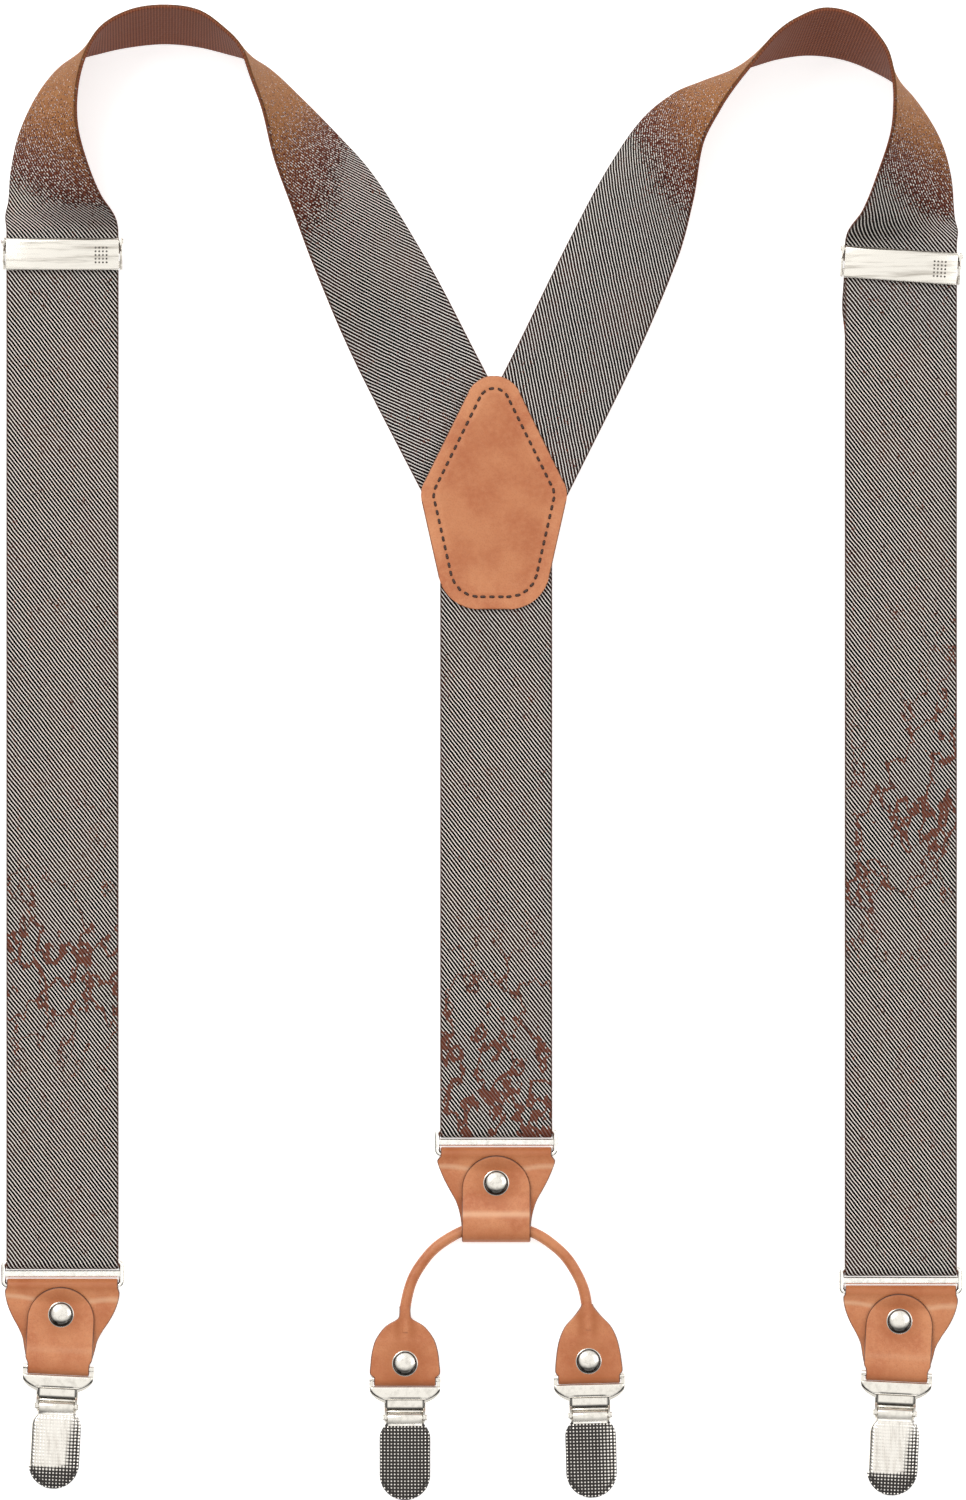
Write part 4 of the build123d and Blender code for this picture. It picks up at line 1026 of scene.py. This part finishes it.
# (distance down from the ring's bar, half width)
FRONT_TAB_WIDTHS = [
    (-2.6, 17.3), (0.6, 17.4), (1.8, 17.9), (4.2, 17.65), (7.3, 16.7), (10.4, 15.2),
    (13.5, 13.3), (16.6, 11.8), (19.8, 11.1), (22.6, 10.4), (24.2, 9.75), (30.0, 9.7),
]
BACK_TAB_WIDTHS = [
    (-2.6, 17.3), (0.6, 17.4), (1.8, 18.4), (3.5, 18.1), (7.9, 16.3),
    (11.3, 14.5), (15.0, 12.5), (19.7, 11.2), (24.0, 10.8), (30.0, 10.7),
]


def leather_tab(
    name, bar, lean, drop, foot_z, fold_mid, crest, ramp, widths, tongue_half, crease
):
    """One hourglass of leather: behind, round the ring, down, round the foot and up in front."""
    path = rounded_path(
        [
            (-14.4, FLAP_MID, 0),
            (-4.5, FLAP_MID, 3),
            (-2.2, TAB_BACK_MID, 3),
            (0, TAB_BACK_MID, 0),
            (TAB_FOLD_MID, TAB_BACK_MID, TAB_FOLD_MID),
            (TAB_FOLD_MID, BAR_Z + TAB_FOLD_MID, TAB_FOLD_MID),
            (-0.4, BAR_Z + TAB_FOLD_MID, 1.5),
            (-4.9, HIDE_MID, 4),
            (LEVEL_END, HIDE_MID, 4),
            (-ramp, foot_z, 4),
            (-drop, foot_z, 0),
            (-drop - fold_mid, foot_z, fold_mid),
            (-drop - fold_mid, foot_z + 2 * fold_mid, fold_mid),
            (-crest, foot_z + 2 * fold_mid, 1.0),
            (LEVEL_END, TONGUE_MID, 6),
            (-4.75, TONGUE_MID, 5),
            (TIP_Y, TONGUE_MID + 1.63, 0),
        ],
        0.7,
    )
    foot_turn = min(range(len(path)), key=lambda n: path[n].x)
    last, before = path[-1], path[-2]
    path = path[:-1] + [before.lerp(last, u) for u in (0.35, 0.6, 0.78, 0.9, 0.97, 1.0)]
    foot_at = travelled(path)[foot_turn]
    foot_half = widths[-1][1]
    tongue_widths = [
        (drop - 4.2, tongue_half),
        (drop - 2.8, tongue_half - 0.05),
        (drop - 1.1, foot_half),
        (drop + 4, foot_half),
    ]

    def half(along, y):
        if along < foot_at:
            return table_value(widths, -y)
        depth = last.x - y
        if depth < tongue_half:
            return max(0.35, math.sqrt(max(0.0, tongue_half**2 - (tongue_half - depth) ** 2)))
        return table_value(tongue_widths, -y)

    def leaning(along, y):
        return lean if along > foot_at else lean * smoothstep(-y, -2.0, 6.0)

    def shade(x, st):
        # painted shade at the foot, where the leather turns under
        foot = 0.6 * smoothstep(st.down, drop - 4.5, drop + 1.0)
        if st.along < foot_at:
            # on the hide: painted shade at the fold over the bar and around 11 mm down, and a
            # painted highlight along a ridge below the bar
            fold = 0.75 * bell(st.down, -0.4, 2.0)
            under = 0.45 * bell(st.down, 11.0, 5.0)
            ridge = 3.6 + 0.9 * bell(abs(x), 8.0, 4.0)
            return min(1.0, fold + foot + under) - 0.6 * bell(st.down, ridge, 0.9)
        # on the tongue: darker in a ring round the rivet and towards its top, and a painted
        # highlight, crease strong, along a crease above the foot
        pressed = 0.5 * bell(math.hypot(x, st.down - RIVET_DROP), 4.8, 2.6)
        top = 0.35 * (1 - smoothstep(st.down, 2.0, 8.0))
        return min(1.0, foot + pressed + top) - crease * bell(st.down, drop - 5.6, 0.9)

    def gap(x, st):
        depth = last.x + st.down
        if st.along > foot_at and depth < tongue_half:
            return max(0.0, tongue_half - math.hypot(x, tongue_half - depth))
        return min(st.half - abs(x), st.along)

    made = stations_in_side_view(bar, path, half, lean=leaning)
    for st in made:
        st.front = -st.front
    made[-1].end = 0.0
    return strip(name, made, LEATHER_T, LEATHER_RIM, LEATHER, inner=12, weigh=shade, gap=gap)


left_bar, right_bar, back_bar = (
    below(ring, RING_DROP, 0.0) for ring in (left_ring, right_ring, back_ring)
)
# the last number of each tab is how strong the painted highlight along its tongue's crease is
front_tab = (
    TAB_LEAN, TAB_DROP, TAB_BACK_MID, TAB_FOLD_MID, TAB_DROP - 1.0, 17.5,
    FRONT_TAB_WIDTHS, 10.5, 0.15,
)
back_tab = (
    0.0, BACK_TAB_DROP, LEATHER_T / 2, CORD_FOLD_MID, 20.0, 18.5, BACK_TAB_WIDTHS, 10.7, 0.6,
)
for side, bar, tab in (
    ("left", left_bar, front_tab), ("right", right_bar, front_tab), ("back", back_bar, back_tab)
):
    stand_in(leather_tab(f"{side}_tab_leather", bar, *tab), "leather", f"{side}_tab")

# ------------------------------------------------------------------ rear cord and its leaves
# (distance down from the leaf's origin at the arch's end, half width)
LEFT_LEAF_WIDTHS = [
    (-4.0, 1.75), (-1.0, 1.8), (0.8, 2.3), (3.1, 6.0), (7.0, 9.0),
    (11.0, 10.3), (15.0, 10.8), (18.3, 10.9), (19.1, 9.75), (24.0, 9.7),
]
RIGHT_LEAF_WIDTHS = [
    (-4.0, 1.75), (-2.6, 1.9), (0.8, 4.4), (3.9, 7.2), (7.8, 9.0),
    (11.7, 9.9), (15.6, 10.4), (18.3, 10.5), (19.1, 9.75), (24.0, 9.7),
]
LEAF_TOP_MID = FRONT_Z + LEATHER_T / 2


def leaf_leather(name, origin, lean, widths):
    """The cord's flat end: a front that fans out, round the clip's bar, and a shorter back."""
    path = rounded_path(
        [
            (3.0, CORD_Z, 0),
            (-1.0, CORD_Z, 8),
            (-8.0, LEAF_TOP_MID, 8),
            (-LEAF_DROP, LEAF_TOP_MID, 0),
            (-LEAF_DROP - TAB_FOLD_MID, LEAF_TOP_MID, TAB_FOLD_MID),
            (-LEAF_DROP - TAB_FOLD_MID, TAB_BACK_MID, TAB_FOLD_MID),
            (-LEAF_DROP, TAB_BACK_MID, 0),
            (-6.5, TAB_BACK_MID, 0),
        ],
        0.6,
    )
    foot = min(range(len(path)), key=lambda n: path[n].x)
    made = stations_in_side_view(origin, path, lambda s, y: table_value(widths, -y), lean=lean)
    foot_at = made[foot].along
    for st in made[:foot]:
        st.thick = 2 * CORD_R + (LEATHER_T - 2 * CORD_R) * smoothstep(st.down, -0.5, 7.5)
    made[-1].end = 0.0

    def crease(x, st):
        if st.along > foot_at:
            return 0.0
        ridge = bell(x, 0.0, 0.5 + 0.12 * max(st.down, 0))
        fade = smoothstep(st.down, 0.0, 3.0) * (1 - smoothstep(st.down, 7.0, 11.5))
        around = math.hypot(x, st.down - LEAF_RIVET)
        return 0.35 * ridge * fade - 0.1 * bell(around, 0.0, 5.2)

    def shade(x, st):
        # darker in a ring round the rivet, painted shade in the valleys beside the neck's ridge and
        # at the foot, and a browner tone over the fan
        pressed = 0.35 * bell(math.hypot(x, st.down - LEAF_RIVET), 5.0, 2.4)
        valley = 0.55 * bell(abs(x), 2.2, 1.3) * (1 - smoothstep(st.down, 5.0, 10.0))
        fan = 0.22 + 0.12 * smoothstep(st.down, 3.0, 9.0)
        foot = 0.35 * smoothstep(st.down, LEAF_DROP - 3, LEAF_DROP + 1)
        return min(1.0, fan + pressed + valley + foot)

    return strip(
        name, made, LEATHER_T, LEATHER_RIM, LEATHER, inner=10, relief=crease, weigh=shade
    )


def leaf_core(name, origin, lean, widths):
    """The flattened middle of the cord between the leaf's two layers."""
    path = run_between(Vector((-5.0, BAR_Z)), Vector((-16.8, BAR_Z)), 0.8)
    made = stations_in_side_view(
        origin, path, lambda s, y: table_value(widths, -y) - 0.35, lean=lean
    )
    return strip(name, made, 2 * FOLD_R + 0.1, LEATHER_RIM, LEATHER, inner=4)


def rolled_cord(name, points, radius):
    """A rolled leather cord with its seam along one side."""
    vertices, lies = [], []
    spokes = 20
    for n, (point, along) in enumerate(zip(points, travelled(points))):
        before, after = neighbours(points, n)
        side = (after - before).normalized().cross(Vector((0, 0, 1))).normalized()
        for angle, across, up in spokes_of(spokes):
            groove = 0.2 * bell(angle, 4.1, 0.22)
            wobble = 0.05 * math.sin(along * 0.55 + 2 * across)
            size = radius - groove - 0.06 + wobble
            vertices.append(point + side * (size * across) + Vector((0, 0, size * up)))
            lies.append((angle * radius, along, min(1.0, 0.22 + groove * 3.5)))
    faces = ring_faces(0, len(points), spokes)
    return piece(name, vertices, faces, LEATHER, lies, [1.0] * len(vertices))


def arch_point(angle):
    return BACK_X + CORD_ARC_R * math.cos(angle), CORD_ARC_Y + CORD_ARC_R * math.sin(angle)


CORE_END = 5.0                    # how far the cord runs on inside each leaf
CORE_STEPS, ARC_STEPS = 4, 96
lean = math.radians(RIGHT_LEAF_LEAN)
left_leaf, right_leaf = (BACK_X - CORD_ARC_R, CORD_ARC_Y), arch_point(lean)
route = [below(left_leaf, CORE_END * (1 - k / CORE_STEPS), 0.0) for k in range(CORE_STEPS)]
route += [arch_point(math.pi + (lean - math.pi) * k / ARC_STEPS) for k in range(ARC_STEPS + 1)]
for k in range(1, CORE_STEPS + 1):
    route.append(below(right_leaf, CORE_END * k / CORE_STEPS, RIGHT_LEAF_LEAN))
cord = rolled_cord("rear_cord_leather", [Vector((*p, CORD_Z)) for p in route], CORD_R)
stand_in(cord, "leather", "rear_cord")
for side, origin, turn, widths in (
    ("left", left_leaf, 0.0, LEFT_LEAF_WIDTHS),
    ("right", right_leaf, RIGHT_LEAF_LEAN, RIGHT_LEAF_WIDTHS),
):
    front = leaf_leather(f"rear_{side}_leaf", origin, turn, widths)
    stand_in(front, "leather", body="rear_cord")
    core = leaf_core(f"rear_{side}_leaf_core", origin, turn, widths)
    stand_in(core, "leather", body="rear_cord")

# ------------------------------------------------------------------ rivets
RIVET_PROFILE = [
    (0.0, 1.35), (0.6, 1.335), (1.2, 1.28), (1.8, 1.18), (2.4, 1.02), (2.9, 0.82), (3.25, 0.6),
    (3.5, 0.38), (3.62, 0.22), (3.68, 0.16), (3.9, 0.15), (4.02, 0.1), (4.05, 0.0),
]


def rivet_dome(name, origin, seat_z):
    """A domed cap with a thin rim, with a painted dark reflection in the groove round it and on its
    lower side.
    """
    vertices = [Vector((*origin, seat_z + RIVET_PROFILE[0][1]))]
    lies = [(0.0, 0.0, 0.0)]
    spokes = 40
    for radius, height in RIVET_PROFILE[1:]:
        # painted dark reflection in the groove round the rim, and as a crescent on the dome's lower
        # side
        groove = smoothstep(radius, 3.2, 3.6) * (1 - smoothstep(radius, 3.75, 4.0))
        for _, across, up in spokes_of(spokes):
            x, y = radius * across, radius * up
            vertices.append(Vector((origin[0] + x, origin[1] + y, seat_z + height)))
            foot = smoothstep(-y, 1.1, 2.6) * smoothstep(radius, 1.2, 2.4)
            lies.append((x, y, 0.95 * max(groove, foot * (1 - smoothstep(radius, 3.8, 4.0)))))
    faces = ring_faces(1, len(RIVET_PROFILE) - 1, spokes, tip=0)
    return piece(name, vertices, faces, RIVET_NICKEL, lies)


TAB_SEAT = TONGUE_Z + LEATHER_T - 0.1
LEAF_SEAT = FRONT_Z + LEATHER_T - 0.08
for place, origin, seat in (
    ("left_tab", below(left_bar, RIVET_DROP, TAB_LEAN), TAB_SEAT),
    ("right_tab", below(right_bar, RIVET_DROP, TAB_LEAN), TAB_SEAT),
    ("back_tab", below(back_bar, RIVET_DROP, 0.0), TAB_SEAT),
    ("rear_left", below(left_leaf, LEAF_RIVET, 0.0), LEAF_SEAT),
    ("rear_right", below(right_leaf, LEAF_RIVET, RIGHT_LEAF_LEAN), LEAF_SEAT),
):
    stand_in(rivet_dome(f"{place}_rivet_dome", origin, seat), "rivet_nickel", f"{place}_rivet_cap")

# ------------------------------------------------------------------ clip covers
# (distance down from the slot bar, half width)
COVER_WIDTHS = [
    (COVER_TOP, 5.6), (14.3, 6.2), (15.4, 7.0), (16.8, 7.7), (18.2, 7.9), (24.0, 7.9),
    (COVER_BOTTOM - 7.9, 7.9),
]
COVER_TIP_D = COVER_BOTTOM - COVER_W / 2      # the middle of the round tip
COVER_EDGE_R, COVER_CROWN = 2.3, 0.15
COVER_COLUMNS, COVER_ROW_STEP = 79, 0.2
KNURL_DEPTH = 0.11
KNUCKLE_R, KNUCKLE_HALF_W = 1.4, 5.4


def cover_half(d):
    """Half the cover's width at a distance down from the slot bar."""
    if d > COVER_TIP_D:
        return math.sqrt(max(0.0, (COVER_W / 2) ** 2 - (d - COVER_TIP_D) ** 2))
    return table_value(COVER_WIDTHS, d)


def cover_gap(x, d):
    """How far a point of the cover is from its edge."""
    side = cover_half(d) - abs(x)
    if d > COVER_TIP_D:
        side = COVER_W / 2 - math.hypot(x, d - COVER_TIP_D)
    return max(0.0, min(side, (d - COVER_TOP) * 0.9))


def cover(name, slot, lean, mesh_weight):
    """The domed cover: a shell, its face pressed with a square mesh."""
    rows = [COVER_TOP + k * COVER_ROW_STEP for k in range(119)]
    rows = [d for d in rows if d < COVER_BOTTOM - 0.7]
    rows += [COVER_BOTTOM - q for q in (0.6, 0.42, 0.26, 0.13, 0.04)]
    tall = COVER_BOTTOM - COVER_TOP
    vertices, lies = [], []

    def put(x, d, z, weight):
        vertices.append(placed(slot, x, -d, z, lean))
        lies.append((x, d, weight))
        return len(vertices) - 1

    outside, inside = [], []
    for d in rows:
        half = max(cover_half(d), 0.5)
        shrink = max(0.0, 1 - COVER_SHELL / max(half, COVER_SHELL))
        under_d = COVER_TOP + COVER_SHELL + (d - COVER_TOP) * ((tall - 2 * COVER_SHELL) / tall)
        outside.append([])
        inside.append([])
        for x in spread(half, COVER_COLUMNS):
            near = cover_gap(x, d)
            z = COVER_Z + (COVER_H - COVER_CROWN) * dome(near / COVER_EDGE_R)
            z += COVER_CROWN * smoothstep(near, 1.5, 7.0)
            columns, lines = (0.5 + 0.5 * math.cos(2 * math.pi * v / KNURL_PITCH) for v in (x, d))
            recess = smoothstep(near, 0.8, 1.8) * (1 - smoothstep(columns * lines, 0.1, 0.5))
            outside[-1].append(put(x, d, z - KNURL_DEPTH * recess, mesh_weight(x, d)))
            depth = max(0.0, near - COVER_SHELL) / (COVER_EDGE_R - COVER_SHELL)
            under_z = COVER_Z + (COVER_H - COVER_SHELL - COVER_CROWN) * dome(depth)
            inside[-1].append(put(x * shrink, under_d, under_z, 0.0))
    return piece(name, vertices, shell_faces(outside, inside), KNURLED, lies, sharp=60)


def knuckle(name, slot, lean):
    """The lever's knuckle, its cam below and its neck up to the cover, cut from one side view."""
    y, z = LEVER_PIVOT
    profile = []
    for degrees in range(-20, 100, 10):
        dy, dz = turned(KNUCKLE_R, 0, degrees)
        profile.append((y + dy, z + dz))
    profile += [
        (y - 0.8, z + 1.35),
        (-COVER_TOP - 1.2, COVER_Z + COVER_H - 0.75),
        (-COVER_TOP - 1.2, z - 0.1),
        (y - 1.35, z - 0.1),
        (y - 1.0, z - 1.55),
        (y + 0.2, z - 1.55),
    ]
    work = bmesh.new()
    sides = [
        [work.verts.new(placed(slot, x, y, z, lean) * MM) for y, z in profile]
        for x in (-KNUCKLE_HALF_W, KNUCKLE_HALF_W)
    ]
    for k in range(len(profile)):
        after = (k + 1) % len(profile)
        work.faces.new((sides[0][k], sides[0][after], sides[1][after], sides[1][k]))
    work.faces.new(sides[0][::-1])
    work.faces.new(sides[1])
    bmesh.ops.recalc_face_normals(work, faces=work.faces)
    bevel(work, 0.12, 35, False)
    return shown(name, work, bpy.data.meshes.new(name), CLIP_NICKEL, 40)


def rear_mesh(wear_and_shade):
    """The rear covers show the painted shade of their mesh all over, less of it towards the right.
    """
    return lambda x, d: 1.0 - wear_and_shade * smoothstep(x, 1.0, 7.0)


def front_mesh(x, d):
    """The front covers shine, and show the painted shade of their mesh near the tip and down the
    right side.
    """
    tip = smoothstep(d + 0.12 * abs(x) + 0.1 * x, 29.5, 33.5)
    flank = 0.7 * smoothstep(x, 1.5, 6.5) * (0.4 + 0.6 * smoothstep(d, 14.0, 30.0))
    return min(1.0, max(tip, flank, 0.12))


CLIPS = (
    ("front_left", below(left_bar, TAB_DROP, TAB_LEAN), TAB_LEAN, front_mesh),
    ("front_right", below(right_bar, TAB_DROP, TAB_LEAN), TAB_LEAN, front_mesh),
    ("rear_left", below(left_leaf, LEAF_DROP, 0.0), 0.0, rear_mesh(0.0)),
    ("rear_right", below(right_leaf, LEAF_DROP, RIGHT_LEAF_LEAN), RIGHT_LEAF_LEAN, rear_mesh(0.45)),
)
for place, slot, turn, weight in CLIPS:
    lever = f"{place}_clip_lever"
    stand_in(cover(f"{place}_cover", slot, turn, weight), "nickel", lever)
    stand_in(knuckle(f"{place}_knuckle", slot, turn), "nickel", body=body_of[lever])


# ------------------------------------------------------------------ softened metal
def softened(node, width, material):
    """A copy of a metal CAD part with its sharp edges rounded off."""
    mesh = nodes[node].data.copy()
    work = bmesh.new()
    work.from_mesh(mesh)
    bmesh.ops.remove_doubles(work, verts=work.verts, dist=1e-6)
    bmesh.ops.dissolve_limit(
        work, angle_limit=math.radians(1.0), verts=work.verts, edges=work.edges
    )
    bevel(work, width, 40, True)
    return stand_in(shown(f"{node}_soft", work, mesh, material, 35), "nickel", node)


for side in ("left", "right"):
    softened(f"{side}_adjuster_lever", 0.3, NICKEL)
    softened(f"{side}_adjuster_frame", 0.1, NICKEL)
for place, *_ in CLIPS:
    softened(f"{place}_clip_base", 0.1, CLIP_NICKEL)
    softened(f"{place}_clip_jaw", 0.08, CLIP_NICKEL)

# ------------------------------------------------------------------ clip loop plates
# (distance down from the slot bar, half width)
BOAT_WIDTHS = [
    (2.25, 11.0), (3.1, 11.1), (3.9, 10.8), (4.7, 10.1), (5.4, 9.1), (6.0, 7.9), (6.4, 6.9),
    (6.6, 6.2),
]
BOAT_TOP, BOAT_END, NECK_TOP, NECK_END = 2.25, 6.6, 6.62, 9.35
NECK_HALF_W = 6.1
BOAT_CROWN, BOAT_RIM = 0.6, 1.3
PLATE_Z, PLATE_T = BAR_Z + 0.55, 0.12
PLATE_COLUMNS = 41


def boat_gap(x, d):
    return table_value(BOAT_WIDTHS, d) - abs(x)


def boat_crown(x, d):
    return BOAT_CROWN * dome(min(boat_gap(x, d) * 0.75, d - BOAT_TOP, BOAT_END - d) / BOAT_RIM)


# painted dark reflection round the boat's rim, and painted shade along the crease below its bowl
def boat_painted_dark(x, d):
    rim = (1 - smoothstep(boat_gap(x, d), 0.35, 0.9)) * smoothstep(d, 3.0, 3.9)
    crease = bell(d, 5.9, 0.22) * (1 - smoothstep(abs(x), 4.4, 5.4))
    return 0.92 * max(rim, crease)


def neck_crown(x, d):
    return 0.2 * smoothstep(NECK_HALF_W - abs(x), 0.0, 0.8) * smoothstep(NECK_END - d, 0.0, 0.8)


# painted dark reflection along the neck's sides and lower end
def neck_painted_dark(x, d):
    side = 1 - smoothstep(NECK_HALF_W - abs(x), 0.4, 0.9)
    return 0.9 * max(side, smoothstep(d, NECK_END - 0.7, NECK_END - 0.2))


def loop_plate(name, slot, lean):
    """The pressed front of a clip's loop plate: a crowned boat shape, and the neck below it."""
    vertices, faces, lies = [], [], []
    for top, end, count, half_of, crown, painted_dark in (
        (BOAT_TOP, BOAT_END, 24, lambda d: boat_gap(0, d), boat_crown, boat_painted_dark),
        (NECK_TOP, NECK_END, 10, lambda d: NECK_HALF_W, neck_crown, neck_painted_dark),
    ):
        rows = [top + (end - top) * k / count for k in range(count + 1)]
        grids = []
        for raised in (True, False):
            grids.append([])
            for d in rows:
                first = len(vertices)
                grids[-1].append(range(first, first + PLATE_COLUMNS))
                for x in spread(half_of(d), PLATE_COLUMNS):
                    z = PLATE_Z + PLATE_T + crown(x, d) if raised else PLATE_Z
                    vertices.append(placed(slot, x, -d, z, lean))
                    lies.append((x, d, painted_dark(x, d)))
        faces += shell_faces(*grids)
    return piece(name, vertices, faces, CLIP_NICKEL, lies)


for place, slot, turn, _ in CLIPS:
    stand_in(loop_plate(f"{place}_boat", slot, turn), "nickel", body=body_of[f"{place}_clip_base"])

# a patch of pressed dots near one end of each adjuster's cover, in nickel painted dark as their
# shade
ADJUSTER_TOP = 6.65
DOT_FIRST, DOT_PITCH, DOT_R, DOT_H = (10.4, -2.6), 1.15, 0.36, 0.14
DOT_SUNK = 0.03                   # how far the foot of a dot is inside the cover


def dots(name, origin, skew, columns, rows):
    vertices, faces = [], []
    spokes, rings = 12, 3
    for x in (DOT_FIRST[0] + k * DOT_PITCH for k in range(columns)):
        for y in (DOT_FIRST[1] + k * DOT_PITCH for k in range(rows)):
            tip = len(vertices)
            vertices.append(placed(origin, x, y, ADJUSTER_TOP + DOT_H, skew))
            for n in range(1, rings + 1):
                fall = DOT_H * (n / rings) ** 2 + (DOT_SUNK if n == rings else 0)
                for _, across, up in spokes_of(spokes):
                    flat = Vector((across, up, 0)) * (DOT_R * n / rings)
                    vertices.append(vertices[tip] + flat - Vector((0, 0, fall)))
            faces += ring_faces(tip + 1, rings, spokes, tip)
    return piece(name, vertices, faces, DOT_SHADE_NICKEL)


for side, origin, skew in ADJUSTERS:
    made = dots(f"{side}_adjuster_dots", origin, skew, 4, 5)
    stand_in(made, "nickel", body=body_of[f"{side}_adjuster_lever"])

# ------------------------------------------------------------------ materials of the kept CAD parts
KEPT = {
    "thread": THREAD,
    "grip_plastic": PLASTIC,
    "nickel": NICKEL,
    "rivet_nickel": RIVET_NICKEL,
    "leather": LEATHER,
    "webbing": WEBBING,
}
for node, part in nodes.items():
    if not part.hide_render:
        part.data.materials.clear()
        part.data.materials.append(RING_NICKEL if node.endswith("_ring") else KEPT[slot_of[node]])

# ------------------------------------------------------------------ floor, lights and surroundings
FLOOR, FLOOR_Z = 4.0, -0.0002     # half its side and its height, in metres
PALE, WHITE = (0.86, 0.86, 0.86, 1.0), (1.0, 1.0, 1.0, 1.0)
floor_look = Shader("floor")
floor_look.set(Base_Color=PALE, Roughness=0.9, Emission_Color=WHITE, Emission_Strength=0.57)
floor_mesh = bpy.data.meshes.new("floor")
corners = [(-FLOOR, -FLOOR), (FLOOR, -FLOOR), (FLOOR, FLOOR), (-FLOOR, FLOOR)]
floor_mesh.from_pydata([(x, y, FLOOR_Z) for x, y in corners], [], [(0, 1, 2, 3)])
floor_mesh.materials.append(floor_look.material)
floor = link("floor", floor_mesh)


def soft_box(name, place, aim, size, power):
    """An area light, in metres and watts."""
    data = bpy.data.lights.new(name, "AREA")
    data.shape = "RECTANGLE"
    data.size, data.size_y = size
    data.energy = power
    made = link(name, data)
    made.location = place
    made.rotation_mode = "QUATERNION"
    made.rotation_quaternion = (Vector(aim) - Vector(place)).to_track_quat("-Z", "Y")


soft_box("key", (-0.9, 0.9, 1.5), (0, 0, 0), (0.9, 0.9), 14.0)
soft_box("fill", (1.3, 0.2, 1.2), (0, 0, 0), (1.0, 1.2), 5.0)
soft_box("low", (0.1, -1.4, 0.9), (0, -0.1, 0), (1.4, 0.5), 4.0)

# the sky's brightness from straight down to straight up, as (place on the ramp, level)
SKY = ((0.0, 0.25), (0.05, 0.03), (0.4, 0.04), (0.6, 0.6), (0.82, 1.08), (1.0, 1.08))
SKY_TILT = 0.45                   # it is brighter beyond the shoulders than beyond the clips
SKY_BLUE = 0.985                  # how much blue its white keeps
world = bpy.data.worlds.new("studio")
world.use_nodes = True
tree = world.node_tree
back = tree.nodes["Background"]
back.inputs["Strength"].default_value = 1.0
where, split, ramp, tilt = (
    tree.nodes.new(f"ShaderNode{kind}")
    for kind in ("TexCoord", "SeparateXYZ", "ValToRGB", "Math")
)
for position, level in SKY[1:-1]:
    ramp.color_ramp.elements.new(position)
for element, (position, level) in zip(ramp.color_ramp.elements, SKY):
    element.position = position
    element.color = (level, level, level * SKY_BLUE, 1.0)
tilt.operation = "MULTIPLY_ADD"
tilt.inputs[1].default_value = SKY_TILT
for output, socket in (
    (where.outputs["Generated"], split.inputs[0]),
    (split.outputs[1], tilt.inputs[0]),
    (split.outputs[2], tilt.inputs[2]),
    (tilt.outputs[0], ramp.inputs[0]),
    (ramp.outputs[0], back.inputs[0]),
):
    tree.links.new(output, socket)
bpy.context.scene.world = world
bpy.context.scene.view_settings.view_transform = "Standard"

print("strap lengths in mm:", {k: round(v, 1) for k, v in lengths.items()})
